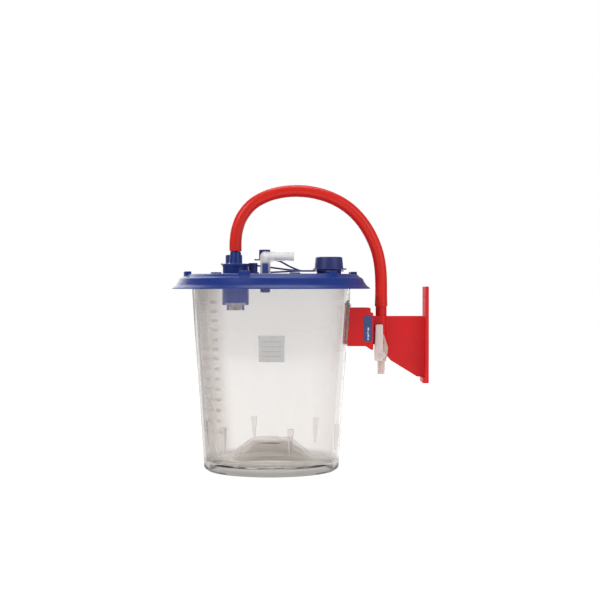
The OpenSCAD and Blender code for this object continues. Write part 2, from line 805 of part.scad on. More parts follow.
module receiver() color("crimson") {
    front_x = wall_r(pad_z) - 6;
    top_z = pad_z + receiver_h;
    difference() {
        xz_plate(-receiver_half, 2 * receiver_half, [
            [front_x, pad_z], [receiver_back_x - 8, pad_z], [receiver_back_x - 2, pad_z - 4],
            [receiver_back_x, pad_z - 3.6], [receiver_back_x, receiver_step_z],
            [receiver_step_x, receiver_step_z], [receiver_step_x, top_z], [front_x, top_z]
        ]);
        // the saddle round the canister's pad
        wall_cone(pad_z - through, top_z + through, pad_t + slide_gap);
        // the slot for the rail's neck and head
        translate([front_x - through, -neck_w / 2 - slide_gap, slot_z])
            cube([rail_x - front_x + 2 * through, neck_w + 2 * slide_gap, receiver_h]);
        translate([rail_x - slide_gap, -head_w / 2 - slide_gap, slot_z])
            cube([head_t + 2 * slide_gap, head_w + 2 * slide_gap, receiver_h]);
        // cored pockets, open at the back
        for (side = [-1, 1])
            translate([
                slot_back_x + pocket_wall,
                side * (column_r + receiver_half) / 2 - (receiver_half - column_r) / 2 + pocket_wall / 2,
                pad_z + pocket_wall
            ])
            cube([
                receiver_back, receiver_half - column_r - 2 * pocket_wall + pocket_wall / 2,
                receiver_step_z - pad_z - 2 * pocket_wall
            ]);
        // the vacuum passage, the seal's groove and the screw holes
        x_cylinder(rail_x, 0, port_z, port_r, receiver_back + 2 * head_t);
        translate([slot_back_x - through, 0, port_z]) rotate([0, 90, 0]) difference() {
            cylinder(r = seal_r + 1, h = through + 2 * seal_thick - seal_stand);
            translate([0, 0, -through]) cylinder(r = seal_r - 1, h = 4 * through + 2 * seal_thick);
        }
        for (z = screw_zs) {
            x_cylinder(slot_back_x - through, 0, z, screw_head_r + 0.3, through + screw_sink + screw_head_h);
            x_cylinder(slot_back_x, 0, z, screw_r + 0.2, receiver_back + through);
        }
    }
}

module receiver_screws() color("silver") {
    for (z = screw_zs) difference() {
        union() {
            x_cylinder(screw_x, 0, z, screw_head_r, screw_head_h);
            x_cylinder(screw_x + screw_head_h - eps, 0, z, screw_r, screw_l - screw_head_h);
        }
        // the cross recess
        for (turn = [0, 90])
            translate([screw_x, 0, z]) rotate([turn, 0, 0])
            translate([-eps, -cross_w / 2, -cross_l / 2]) cube([cross_depth, cross_w, cross_l]);
    }
}

module port_seal() color("dimgray") {
    translate([slot_back_x + seal_thick - seal_stand, 0, port_z])
        rotate([0, 90, 0]) round_ring(seal_r, seal_thick);
}

module bracket_label() color("steelblue") {
    xz_plate(-receiver_half - label_t, label_t, [
        for (corner = [[1, 1, 0], [0, 1, 90], [0, 0, 180], [1, 0, 270]], a = [0 : 15 : 90])
            [
                bracket_label_x + 2 + corner[0] * (bracket_label_w - 4) + 2 * cos(corner[2] + a),
                bracket_label_z + 2 + corner[1] * (bracket_label_h - 4) + 2 * sin(corner[2] + a)
            ]
    ]);
}

module bracket_arm() color("crimson") {
    difference() {
        union() {
            translate([receiver_back_x, -column_r, column_z])
                cube([column_out, 2 * column_r, web_z - column_z]);
            translate([flow_x, 0, column_z]) cylinder(r = column_r, h = web_z - column_z);
            xz_plate(-web_t / 2, web_t, [
                [flow_x, web_z], [plate_x + eps, web_z], [plate_x + eps, plate_z_low + lip_h],
                [plate_x - lip_l, plate_z_low + lip_h - 0.2], [plate_x - 7.8, plate_z_low + lip_h + 0.2],
                [flow_x + 10.1, pad_z - 15.8], [flow_x + 4.7, pad_z - 9.3], [flow_x + 4.7, column_z],
                [flow_x, column_z]
            ]);
            translate([plate_x, -wall_plate_half, plate_z_low])
                cube([wall_plate_t, 2 * wall_plate_half, plate_z_top - plate_z_low]);
            translate([plate_x - lip_l, -wall_plate_half, plate_z_low])
                cube([lip_l + eps, 2 * wall_plate_half, lip_h]);
        }
        y_cylinder(flow_x, -web_t, valve_z, barrel_r + slide_gap, 2 * web_t);
        // vacuum passages
        translate([flow_x, 0, column_z - through]) cylinder(r = flow_r, h = web_z - column_z + 2 * through);
        x_cylinder(receiver_back_x - through, 0, port_z, port_r, column_out + through);
        // pilot holes for the receiver's screws
        for (z = screw_zs)
            x_cylinder(receiver_back_x - through, 0, z, screw_r - thread_bite,
                screw_l - receiver_back + through);
        for (y = [-1, 1], z = [-1, 1])
            x_cylinder(plate_x - through, y * wall_screw_y / 2, wall_screw_mid + z * wall_screw_z / 2,
                wall_hole_r, wall_plate_t + 2 * through);
    }
}

module hose_barb() color("crimson") {
    translate([flow_x, 0, 0]) difference() {
        union() {
            translate([0, 0, web_z]) cylinder(r = collar_r, h = collar_h);
            hose_stem(collar_z - eps);
        }
        translate([0, 0, web_z - through]) cylinder(r = stem_bore_r, h = collar_h + stem_h + 2 * through);
    }
}

// ---- valve ----

module valve_body() color("antiquewhite") {
    difference() {
        union() {
            y_cylinder(flow_x, -barrel_half, valve_z, barrel_r, 2 * barrel_half);
            translate([flow_x, 0, valve_z]) cylinder(r = neck_r, h = column_z - valve_z);
            translate([flow_x, 0, valve_z - tail_h]) cylinder(r = tail_r, h = tail_h);
            translate([flow_x, 0, valve_z - 7]) cylinder(r = tail_r + 0.5, h = 4);
            xz_plate(shield_y, shield_t, [
                [flow_x - 3.3, valve_z + 21.5], [flow_x + 2.5, valve_z + 21.5], [flow_x + 6.8, valve_z + 7.5],
                [flow_x + 6, valve_z + 0.5], [flow_x + 4.5, valve_z - 7], [flow_x - 3.9, valve_z - 7],
                [flow_x - 6, valve_z + 0.5], [flow_x - 7.6, valve_z + 6], [flow_x - 6, valve_z + 13]
            ]);
        }
        y_cylinder(flow_x, shield_y - through, valve_z, plug_r + plug_fit,
            2 * (barrel_half + through) + shield_t);
        y_cylinder(flow_x + 1.6, shield_y - through, valve_z + 13.2, pin_hole_r, shield_t - 0.2 + through);
        translate([flow_x, 0, valve_z - tail_h - through])
            cylinder(r = flow_r, h = tail_h + column_z - valve_z + 2 * through);
    }
}

module valve_plug() color("ivory") {
    difference() {
        y_cylinder(flow_x, lever_y, valve_z, plug_r, plug_back_y - lever_y);
        translate([flow_x, 0, valve_z - plug_r - through]) cylinder(r = flow_r, h = 2 * (plug_r + through));
        // grooves for the seals and the clip
        for (y = [-seal_y, seal_y])
            translate([flow_x, y - 0.5, valve_z]) rotate([-90, 0, 0]) difference() {
                cylinder(r = plug_r + through, h = 1);
                translate([0, 0, -through]) cylinder(r = plug_r - 2 * plug_seal_r, h = 1 + 2 * through);
            }
        translate([flow_x, clip_y, valve_z]) rotate([-90, 0, 0]) difference() {
            cylinder(r = plug_r + through, h = clip_t);
            translate([0, 0, -through]) cylinder(r = clip_groove_r, h = clip_t + 2 * through);
        }
        y_cylinder(flow_x, lever_y - through, valve_z, lever_screw_r - thread_bite,
            lever_screw_l - lever_t + through);
    }
}

module plug_seals() color("black") {
    for (y = [-seal_y, seal_y])
        translate([flow_x, y, valve_z]) rotate([-90, 0, 0]) round_ring(plug_r - plug_seal_r, plug_seal_r);
}

module plug_clip() color("silver") {
    translate([flow_x, clip_y, valve_z]) rotate([-90, 0, 0]) difference() {
        cylinder(r = barrel_r - 0.4, h = clip_t);
        translate([0, 0, -through]) cylinder(r = clip_groove_r + 0.05, h = clip_t + 2 * through);
        translate([-2, 0, -through]) cube([4, barrel_r + through, clip_t + 2 * through]);
    }
}

module valve_lever() color("white") {
    difference() {
        xz_plate(lever_y - lever_t, lever_t, [
            [flow_x - 5.8, valve_z + lever_up], [flow_x + 0.4, valve_z + lever_up],
            [flow_x + 1.2, valve_z + lever_up - 1], [flow_x + 1.2, valve_z - lever_down + 1],
            [flow_x + 0.4, valve_z - lever_down], [flow_x - 6.8, valve_z - lever_down],
            [flow_x - 7.6, valve_z - lever_down + 1], [flow_x - 7.8, valve_z + 1],
            [flow_x - 6.6, valve_z + lever_up - 1]
        ]);
        y_cylinder(flow_x, lever_y - lever_t - through, valve_z, lever_screw_r + thread_bite,
            lever_t + 2 * through);
    }
}

module lever_screw() color("silver") {
    head_y = lever_y - lever_t - lever_screw_head_h;
    difference() {
        union() {
            y_cylinder(flow_x, head_y, valve_z, lever_screw_head_r, lever_screw_head_h);
            y_cylinder(flow_x, head_y + lever_screw_head_h - eps, valve_z, lever_screw_r, lever_screw_l);
        }
        for (turn = [0, 90])
            translate([flow_x, head_y, valve_z]) rotate([0, turn, 0])
            translate([-cross_l / 2, -eps, -cross_w / 2]) cube([cross_l, cross_depth, cross_w]);
    }
}

canister();
front_label();
lid();
lid_gasket();
liner();
filter_housing();
filter_disc();
float();
vacuum_nozzle();
tether_ring();
strap_tall();
strap_wide();
strap_small();
pour_cap();
tall_cap();
wide_cap();
small_cap();
elbow();
hose();
receiver();
receiver_screws();
port_seal();
bracket_label();
bracket_arm();
hose_barb();
valve_body();
valve_plug();
plug_seals();
plug_clip();
valve_lever();
lever_screw();
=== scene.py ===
import bmesh
import bpy
from math import atan2, cos, hypot, pi, radians, sin, tau
from mathutils import Matrix, Vector
from mathutils.geometry import interpolate_bezier


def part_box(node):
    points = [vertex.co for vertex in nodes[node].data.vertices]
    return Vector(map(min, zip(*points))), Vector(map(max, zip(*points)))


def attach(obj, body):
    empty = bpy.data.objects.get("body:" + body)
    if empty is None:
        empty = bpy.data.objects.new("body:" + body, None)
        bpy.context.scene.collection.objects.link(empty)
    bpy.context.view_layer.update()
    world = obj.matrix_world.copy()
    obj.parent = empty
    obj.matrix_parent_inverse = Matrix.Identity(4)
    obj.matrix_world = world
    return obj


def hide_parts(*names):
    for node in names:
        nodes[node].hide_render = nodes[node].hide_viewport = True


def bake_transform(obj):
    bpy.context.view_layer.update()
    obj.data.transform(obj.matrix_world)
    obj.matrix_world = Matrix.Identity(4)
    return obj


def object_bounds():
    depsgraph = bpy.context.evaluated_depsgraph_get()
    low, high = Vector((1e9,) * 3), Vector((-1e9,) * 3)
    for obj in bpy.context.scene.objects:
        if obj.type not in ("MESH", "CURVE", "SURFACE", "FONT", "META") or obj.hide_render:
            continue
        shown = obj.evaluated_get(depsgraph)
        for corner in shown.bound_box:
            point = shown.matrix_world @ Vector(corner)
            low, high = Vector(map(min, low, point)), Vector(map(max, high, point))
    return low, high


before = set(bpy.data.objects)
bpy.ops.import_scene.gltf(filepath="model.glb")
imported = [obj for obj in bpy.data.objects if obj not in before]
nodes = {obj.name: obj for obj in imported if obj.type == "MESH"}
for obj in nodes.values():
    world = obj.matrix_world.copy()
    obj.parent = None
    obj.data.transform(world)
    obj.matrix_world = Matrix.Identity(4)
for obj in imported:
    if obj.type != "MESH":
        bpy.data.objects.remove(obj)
cadLow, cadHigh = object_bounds()
scene = bpy.context.scene
mm = 0.001
millilitre = 1e-6  # in cubic metres
print("frame loaded")


# The camera stands level with the lid and looks along +Y, a little downwards
cameraSet = {"distance": 1.48, "height": 0.194, "tiltDown": 0.575, "lens": 83.8, "sensor": 36}

def makeCamera():
    data = bpy.data.cameras.new("camera")
    data.lens = cameraSet["lens"]
    data.sensor_width = cameraSet["sensor"]
    camera = bpy.data.objects.new("camera", data)
    scene.collection.objects.link(camera)
    camera.location = ((cadLow.x + cadHigh.x) / 2, -cameraSet["distance"], cameraSet["height"])
    camera.rotation_euler = (radians(90 - cameraSet["tiltDown"]), 0, 0)
    scene.camera = camera

makeCamera()
print("camera placed")


# Tools that every piece uses
def inMetres(points):
    return [Vector(point) * mm for point in points]

def boxOf(node):
    low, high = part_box(node)
    return low, high, (low + high) / 2

def smoothPath(points, steps):
    path = [points[0]]
    for i in range(len(points) - 1):
        before = points[max(i - 1, 0)]
        after = points[min(i + 2, len(points) - 1)]
        first = points[i] + (points[i + 1] - before) / 6
        second = points[i + 1] - (after - points[i]) / 6
        path += interpolate_bezier(points[i], first, second, points[i + 1], steps + 1)[1:]
    return path

def pathLength(path):
    return sum((b - a).length for a, b in zip(path, path[1:]))

def waysAlong(path):
    last = len(path) - 1
    return [(path[min(i + 1, last)] - path[max(i - 1, 0)]).normalized() for i in range(last + 1)]

# Pulls a round or flat section along a path, and turns it to each new direction
def sweep(bm, path, width, height, sides, sizes=None):
    ways = waysAlong(path)
    ring = bmesh.ops.create_circle(bm, cap_ends=False, radius=1, segments=sides)["verts"]
    bmesh.ops.scale(bm, vec=(height / 2, width / 2, 1), verts=ring)
    edges = list({edge for vert in ring for edge in vert.link_edges})
    first = ways[0]
    turn = (Matrix.Rotation(atan2(first.y, first.x), 3, "Z")
            @ Matrix.Rotation(pi / 2 - atan2(first.z, hypot(first.x, first.y)), 3, "Y"))
    bmesh.ops.rotate(bm, verts=ring, cent=(0, 0, 0), matrix=turn)
    bmesh.ops.translate(bm, verts=ring, vec=path[0])
    made = list(ring)
    for i in range(1, len(path)):
        grown = bmesh.ops.extrude_edge_only(bm, edges=edges)["geom"]
        ring = [part for part in grown if isinstance(part, bmesh.types.BMVert)]
        edges = [part for part in grown if isinstance(part, bmesh.types.BMEdge) and part.is_boundary]
        turn = ways[i - 1].rotation_difference(ways[i]).to_matrix()
        bmesh.ops.rotate(bm, verts=ring, cent=path[i - 1], matrix=turn)
        bmesh.ops.translate(bm, verts=ring, vec=path[i] - path[i - 1])
        if sizes:
            grow = sizes[i] / sizes[i - 1]
            bmesh.ops.scale(bm, vec=(grow, grow, grow), space=Matrix.Translation(-path[i]), verts=ring)
        made += ring
    return made

def closeEnds(bm):
    bmesh.ops.holes_fill(bm, edges=[edge for edge in bm.edges if edge.is_boundary])

# Spins an outline of (radius, height, rounding) points in millimetres round the Z axis
def turned(bm, outline, at=(0, 0), steps=96, closed=True):
    known = set(bm.verts)
    corners = [bm.verts.new((point[0] * mm, 0, point[1] * mm)) for point in outline]
    pairs = list(zip(corners, corners[1:])) + ([(corners[-1], corners[0])] if closed else [])
    for pair in pairs:
        bm.edges.new(pair)
    for corner, point in zip(corners, outline):
        if len(point) > 2:
            bmesh.ops.bevel(bm, geom=[corner], offset=point[2] * mm, offset_type="OFFSET", segments=4,
                            profile=0.5, affect="VERTICES", material=-1)
    fresh = [vert for vert in bm.verts if vert not in known]
    wires = [edge for edge in bm.edges if edge.is_wire]
    bmesh.ops.spin(bm, geom=fresh + wires, cent=(0, 0, 0), axis=(0, 0, 1), angle=tau, steps=steps,
                   use_merge=True)
    fresh = [vert for vert in bm.verts if vert not in known]
    bmesh.ops.remove_doubles(bm, verts=fresh, dist=0.001 * mm)
    fresh = [vert for vert in bm.verts if vert not in known]
    bmesh.ops.translate(bm, verts=fresh, vec=(at[0], at[1], 0))
    return fresh

# Everything that is joined to the given vertices
def connected(verts):
    found, waiting = set(verts), list(verts)
    while waiting:
        for edge in waiting.pop().link_edges:
            for vert in edge.verts:
                if vert not in found:
                    found.add(vert)
                    waiting.append(vert)
    return list(found)

def roundEdges(bm, verts, rounding, segments=2):
    edges = {edge for vert in verts for edge in vert.link_edges}
    made = bmesh.ops.bevel(bm, geom=list(edges), offset=rounding, offset_type="OFFSET", segments=segments,
                           profile=0.5, affect="EDGES", material=-1)["verts"]
    return connected(made)

# A block with rounded edges, from its middle and its size in metres
def block(bm, middle, size, rounding, segments=2):
    made = bmesh.ops.create_cube(bm, size=1)["verts"]
    bmesh.ops.scale(bm, vec=size, verts=made)
    made = roundEdges(bm, made, rounding, segments)
    bmesh.ops.translate(bm, verts=made, vec=middle)
    return made

def turnAboutZ(bm, verts, degrees):
    bmesh.ops.rotate(bm, verts=verts, cent=(0, 0, 0), matrix=Matrix.Rotation(radians(degrees), 3, "Z"))

sharpOver = 38  # edges that turn more than this, in degrees, are shaded sharp

# Gives a mesh its place in the object: its body, its finish and the CAD nodes that it stands for
def addPiece(name, mesh, material, body, stands=(), evenShading=False):
    mesh.shade_smooth()
    mesh.set_sharp_from_angle(angle=radians(sharpOver))
    mesh.materials.clear()
    mesh.materials.append(material)
    piece = bpy.data.objects.new(name, mesh)
    scene.collection.objects.link(piece)
    if evenShading:
        even = piece.modifiers.new("evenShading", "WEIGHTED_NORMAL")
        even.keep_sharp = True
    if stands:
        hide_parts(*stands)
    if body:
        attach(piece, body)
    return piece

def closeMesh(bm, name, outwards=True):
    bmesh.ops.remove_doubles(bm, verts=bm.verts, dist=0.001 * mm)
    if outwards:
        bmesh.ops.recalc_face_normals(bm, faces=bm.faces)
    mesh = bpy.data.meshes.new(name)
    bm.to_mesh(mesh)
    bm.free()
    return mesh

# A merged copy of a CAD node with rounded corners takes the node's place
def addRounded(name, node, rounding, material, body, cornerOver=30, segments=2):
    bm = bmesh.new()
    bm.from_mesh(nodes[node].data)
    bmesh.ops.remove_doubles(bm, verts=bm.verts, dist=0.003 * mm)
    bmesh.ops.dissolve_limit(bm, angle_limit=radians(0.6), verts=bm.verts, edges=bm.edges)
    corners = [edge for edge in bm.edges
               if edge.is_manifold and edge.calc_face_angle(0) > radians(cornerOver)]
    bmesh.ops.bevel(bm, geom=corners, offset=rounding * mm, offset_type="OFFSET", segments=segments,
                    profile=0.5, affect="EDGES", material=-1, loop_slide=True)
    addPiece(name, closeMesh(bm, name, outwards=False), material, body, [node], evenShading=True)


# Shader helpers: an input is a plain value or another node's output
def addNode(tree, kind, inputs=None, **settings):
    made = tree.nodes.new(kind)
    for name, value in settings.items():
        setattr(made, name, value)
    for name, value in (inputs or {}).items():
        if isinstance(value, bpy.types.NodeSocket):
            tree.links.new(value, made.inputs[name])
        else:
            made.inputs[name].default_value = value
    return made

def mathNode(tree, operation, first, second, **settings):
    made = addNode(tree, "ShaderNodeMath", {0: first, 1: second}, operation=operation, **settings)
    return made.outputs[0]

def product(tree, first, second):
    return mathNode(tree, "MULTIPLY", first, second)

def total(tree, first, second, clamp=False):
    return mathNode(tree, "ADD", first, second, use_clamp=clamp)

def remap(tree, value, start, end, low=0.0, high=1.0):
    return addNode(tree, "ShaderNodeMapRange", {"Value": value, "From Min": start, "From Max": end,
                                                "To Min": low, "To Max": high}).outputs["Result"]

# A noise stays near its middle, so this brings it out to the full range
def spread(tree, value, low, high):
    return remap(tree, value, 0.3, 0.7, low, high)

# Inputs 6 and 7 and output 2 of a Mix node are its colours
def mixColors(tree, share, first, second):
    return addNode(tree, "ShaderNodeMix", {0: share, 6: first, 7: second}, data_type="RGBA").outputs[2]

def objectPlace(tree):
    return addNode(tree, "ShaderNodeTexCoord").outputs["Object"]

def alongAxis(tree, axis):
    return addNode(tree, "ShaderNodeSeparateXYZ", {"Vector": objectPlace(tree)}).outputs[axis]

def noise(tree, place, scale, detail, roughness=0.5):
    return addNode(tree, "ShaderNodeTexNoise", {"Vector": place, "Scale": scale, "Detail": detail,
                                                "Roughness": roughness}).outputs["Fac"]

def bumped(tree, height, strength, distance):
    return addNode(tree, "ShaderNodeBump", {"Height": height, "Strength": strength,
                                            "Distance": distance}).outputs["Normal"]

# Every group puts out a colour, a roughness and a normal
# A tuple makes a colour input, and a number makes a plain one
def newGroup(name, inputs):
    group = bpy.data.node_groups.new(name, "ShaderNodeTree")
    for label, value in inputs.items():
        kind = "NodeSocketColor" if isinstance(value, tuple) else "NodeSocketFloat"
        group.interface.new_socket(name=label, in_out="INPUT", socket_type=kind).default_value = value
    for label, kind in (("Color", "NodeSocketColor"), ("Roughness", "NodeSocketFloat"),
                        ("Normal", "NodeSocketVector")):
        group.interface.new_socket(name=label, in_out="OUTPUT", socket_type=kind)
    return group, group.nodes.new("NodeGroupInput").outputs

def closeGroup(group, color, roughness, normal):
    addNode(group, "NodeGroupOutput", {"Color": color, "Roughness": roughness, "Normal": normal})
    return group

# Moulded plastic: soft mottling, paler edges that are partly wear and partly a painted highlight, a fine
# grain and patches that hands have dulled
def makeMouldedGroup():
    group, given = newGroup("mouldedPlastic", {
        "Color": (0.5, 0.5, 0.5, 1), "Wear And Highlight Color": (0.8, 0.8, 0.8, 1), "Mottle": 0.08, "Wear": 0.3,
        "Wear Width": 0.0006, "Roughness": 0.35, "Grain": 0.03, "Grain Size": 900.0, "Dulled": 0.8})
    place = objectPlace(group)
    clouds = noise(group, place, 38.0, 4.0)
    handled = noise(group, place, 70.0, 3.0, roughness=0.6)
    grain = noise(group, place, given["Grain Size"], 3.0)
    # an edge is paler where the rounded normal turns away from the true one: partly wear, partly a painted
    # highlight
    soft = addNode(group, "ShaderNodeBevel", {"Radius": given["Wear Width"]}, samples=4).outputs["Normal"]
    true = addNode(group, "ShaderNodeNewGeometry").outputs["True Normal"]
    same = addNode(group, "ShaderNodeVectorMath", {0: soft, 1: true}, operation="DOT_PRODUCT")
    edge = remap(group, same.outputs["Value"], 0.998, 0.86)
    broken = product(group, edge, spread(group, handled, 0.25, 1.0))
    worn = product(group, broken, given["Wear"])
    swing = product(group, spread(group, clouds, -0.5, 0.5), given["Mottle"])
    mottled = addNode(group, "ShaderNodeHueSaturation", {"Color": given["Color"],
                                                         "Value": total(group, swing, 1.0)})
    patch = product(group, spread(group, handled, -0.06, 0.09), given["Dulled"])
    return closeGroup(group, mixColors(group, worn, mottled.outputs["Color"], given["Wear And Highlight Color"]),
                      total(group, given["Roughness"], patch, clamp=True),
                      bumped(group, grain, given["Grain"], 0.00025))

# Clear and milky mouldings: flow streaks, a wavy surface and hazy smudges
def makeClearGroup():
    group, given = newGroup("clearMoulding", {
        "Color": (0.9, 0.9, 0.9, 1), "Streak Color": (0.8, 0.8, 0.8, 1), "Streaks": 0.4, "Roughness": 0.08,
        "Haze": 0.1, "Waves": 0.1, "Wave Size": 30.0})
    place = objectPlace(group)
    drawn = addNode(group, "ShaderNodeMapping", {"Vector": place, "Scale": (1.0, 1.0, 0.16)}).outputs[0]
    flow = noise(group, drawn, 70.0, 5.0)
    smudge = noise(group, place, 42.0, 7.0, roughness=0.7)
    wave = noise(group, drawn, given["Wave Size"], 2.0)
    streak = product(group, spread(group, flow, 0.0, 1.0), given["Streaks"])
    haze = product(group, spread(group, smudge, 0.0, 1.0), given["Haze"])
    return closeGroup(group, mixColors(group, streak, given["Color"], given["Streak Color"]),
                      total(group, given["Roughness"], haze, clamp=True),
                      bumped(group, wave, given["Waves"], 0.0012))

# Card and printed film: fibres, and ink that has rubbed thin
def makePrintedGroup():
    group, given = newGroup("printedCard", {
        "Color": (0.5, 0.5, 0.5, 1), "Rubbed Color": (0.7, 0.7, 0.7, 1), "Rub": 0.2, "Roughness": 0.5,
        "Fibres": 0.15})
    place = objectPlace(group)
    fibre = noise(group, place, 2600.0, 4.0)
    rubbed = noise(group, place, 240.0, 8.0, roughness=0.75)
    thin = product(group, spread(group, rubbed, 0.0, 1.0), given["Rub"])
    return closeGroup(group, mixColors(group, thin, given["Color"], given["Rubbed Color"]),
                      total(group, given["Roughness"], spread(group, rubbed, -0.08, 0.08), clamp=True),
                      bumped(group, fibre, given["Fibres"], 0.0001))

mouldedGroup = makeMouldedGroup()
clearGroup = makeClearGroup()
printedGroup = makePrintedGroup()

# A material whose colour, roughness and normal come from one of the groups
def groupedMaterial(name, group, values, **shaderValues):
    material = bpy.data.materials.new(name)
    material.use_nodes = True
    tree = material.node_tree
    shader = tree.nodes["Principled BSDF"]
    surface = addNode(tree, "ShaderNodeGroup", values, node_tree=group).outputs
    tree.links.new(surface["Color"], shader.inputs["Base Color"])
    tree.links.new(surface["Roughness"], shader.inputs["Roughness"])
    tree.links.new(surface["Normal"], shader.inputs["Normal"])
    for label, value in shaderValues.items():
        shader.inputs[spaced(label)].default_value = value
    return material

# specularIORLevel becomes "Specular IOR Level", the label on the shader
def spaced(label):
    words = "".join(" " + letter if letter.isupper() else letter for letter in label)
    words = words.replace(" I O R", " IOR").strip()
    return words[0].upper() + words[1:]

def groupValues(colors, values):
    given = {label: (*color, 1) for label, color in colors.items()}
    given.update({spaced(label): value for label, value in values.items()})
    return given

def plastic(name, color, worn, **values):
    given = groupValues({"Color": color, "Wear And Highlight Color": worn}, values)
    return groupedMaterial(name, mouldedGroup, given, specularIORLevel=0.3)

def printed(name, color, rubbed, **values):
    given = groupValues({"Color": color, "Rubbed Color": rubbed}, values)
    return groupedMaterial(name, printedGroup, given)

# Shadows pass through clear plastic, a little tinted
def lightenShadow(material, tint, share=0.85):
    tree = material.node_tree
    through = addNode(tree, "ShaderNodeBsdfTransparent", {"Color": tint})
    shadow = addNode(tree, "ShaderNodeLightPath").outputs["Is Shadow Ray"]
    both = addNode(tree, "ShaderNodeMixShader", {0: product(tree, shadow, share),
                                                 1: tree.nodes["Principled BSDF"].outputs[0],
                                                 2: through.outputs[0]})
    tree.links.new(both.outputs[0], tree.nodes["Material Output"].inputs["Surface"])

def clearPlastic(name, color, streak, transmission, bend=1.49, coat=0.0, **values):
    given = groupValues({"Color": color, "Streak Color": streak}, values)
    material = groupedMaterial(name, clearGroup, given, transmissionWeight=transmission, coatWeight=coat,
                               coatRoughness=0.06)
    material.node_tree.nodes["Principled BSDF"].inputs["IOR"].default_value = bend
    lightenShadow(material, (*color, 1))
    return material

# The second colour of each plastic is its paler edge: partly wear, partly a painted highlight
lidBlue = plastic("lidBlue", (0.008, 0.03, 0.2), (0.09, 0.14, 0.4), roughness=0.3, wear=0.3, mottle=0.12)
capBlue = plastic("capBlue", (0.03, 0.04, 0.18), (0.13, 0.15, 0.36), roughness=0.36, wear=0.25, mottle=0.12)
bracketRed = plastic("bracketRed", (0.65, 0.009, 0.012), (0.82, 0.12, 0.1), roughness=0.38, wear=0.3,
                     mottle=0.1, grain=0.04)
hoseRed = plastic("hoseRed", (0.64, 0.014, 0.007), (0.72, 0.06, 0.04), roughness=0.3, wear=0.0, mottle=0.05,
                  grain=0.0, dulled=0.15)
whitePlastic = plastic("whitePlastic", (0.74, 0.63, 0.6), (0.8, 0.76, 0.73), roughness=0.35, wear=0.4,
                       mottle=0.05)
filterWhite = plastic("filterWhite", (0.8, 0.78, 0.76), (0.86, 0.86, 0.86), roughness=0.8, wear=0.0,
                      mottle=0.1, grain=0.7, grainSize=1800.0)
sealRubber = plastic("sealRubber", (0.025, 0.025, 0.027), (0.09, 0.09, 0.09), roughness=0.62, wear=0.2,
                     grain=0.25)
labelGrey = printed("labelGrey", (0.47, 0.455, 0.45), (0.58, 0.57, 0.56), rub=0.35, roughness=0.5)
labelBlue = printed("labelBlue", (0.035, 0.06, 0.21), (0.1, 0.13, 0.3), rub=0.3, roughness=0.42)
markWhite = printed("markWhite", (0.75, 0.75, 0.76), (0.5, 0.5, 0.52), rub=0.4, roughness=0.5)
inkGrey = printed("inkGrey", (0.22, 0.225, 0.24), (0.42, 0.42, 0.43), rub=0.4, roughness=0.45)
steel = groupedMaterial("steel", mouldedGroup, groupValues(
    {"Color": (0.62, 0.61, 0.6), "Wear And Highlight Color": (0.8, 0.8, 0.8)},
    {"roughness": 0.28, "wear": 0.5, "wearWidth": 0.0003, "mottle": 0.2}), metallic=1.0)

# Takes a material's base colour some of the way to another tone
def takeTowards(material, share, tone):
    tree = material.node_tree
    base = tree.nodes["Principled BSDF"].inputs["Base Color"]
    tree.links.new(mixColors(tree, share, base.links[0].from_socket, (*tone, 1)), base)

# 0 where a surface is seen from straight ahead, 1 where it is seen edge on
def edgeOn(tree):
    return addNode(tree, "ShaderNodeLayerWeight", {"Blend": 0.5}).outputs["Facing"]

# Another tone between two heights, everywhere or only where it is seen from straight ahead
def toneByHeight(material, tone, start, end, middleOnly=None):
    tree = material.node_tree
    share = remap(tree, alongAxis(tree, "Z"), start, end)
    if middleOnly:
        ahead = remap(tree, edgeOn(tree), middleOnly + 0.06, middleOnly - 0.06)
        share = product(tree, share, ahead)
    takeTowards(material, share, tone)

# Painted shade: the canister's dome and floor are thicker and are seen through more layers, so they are
# painted deeper in tone than its wall
def paintDomeShade(material, tone, rim, top):
    tree = material.node_tree
    flat = addNode(tree, "ShaderNodeVectorMath", {0: objectPlace(tree), 1: (1, 1, 0)},
                   operation="MULTIPLY").outputs[0]
    out = addNode(tree, "ShaderNodeVectorMath", {0: flat}, operation="LENGTH").outputs["Value"]
    inside = remap(tree, out, rim, rim - 0.003)
    below = remap(tree, alongAxis(tree, "Z"), top, top - 0.002)
    takeTowards(material, product(tree, inside, below), tone)

# 1 on the side away from the bracket, and another share on the bracket's side, so the painted edge shade,
# and the film's edge cover, are stronger on the side with darker surroundings
def sideShare(tree, bracketSide):
    return remap(tree, alongAxis(tree, "X"), -0.05, 0.05, 1.0, bracketSide)

# Painted shade and reflection: clear walls are painted darker where they are seen edge on, for their longer
# path through the plastic and the darker surroundings that their edges reflect
def paintEdgeShade(material, tone, start, end, bracketSide):
    tree = material.node_tree
    share = product(tree, remap(tree, edgeOn(tree), start, end), sideShare(tree, bracketSide))
    takeTowards(material, share, tone)

# A thin film hides more of what is behind it where it is seen edge on
def filmEdges(material, flat, edge, bracketSide):
    tree = material.node_tree
    most = product(tree, sideShare(tree, bracketSide), edge)
    cover = remap(tree, edgeOn(tree), 0.2, 0.9, flat, most)
    tree.links.new(cover, tree.nodes["Principled BSDF"].inputs["Alpha"])

canisterClear = clearPlastic("canisterClear", (0.865, 0.85, 0.84), (0.83, 0.815, 0.8), 0.99, bend=1.07,
                             coat=0.25, roughness=0.01, haze=0.02, streaks=0.4, waves=0.012, waveSize=14.0)
# Painted shade: the clear wall is painted a little darker towards the top
toneByHeight(canisterClear, (0.845, 0.835, 0.83), start=0.06, end=0.19)
# Painted shade and reflection: a dark grey at the edges seen edge on, less of it on the bracket's side
paintEdgeShade(canisterClear, (0.53, 0.5, 0.48), start=0.2, end=0.8, bracketSide=0.15)
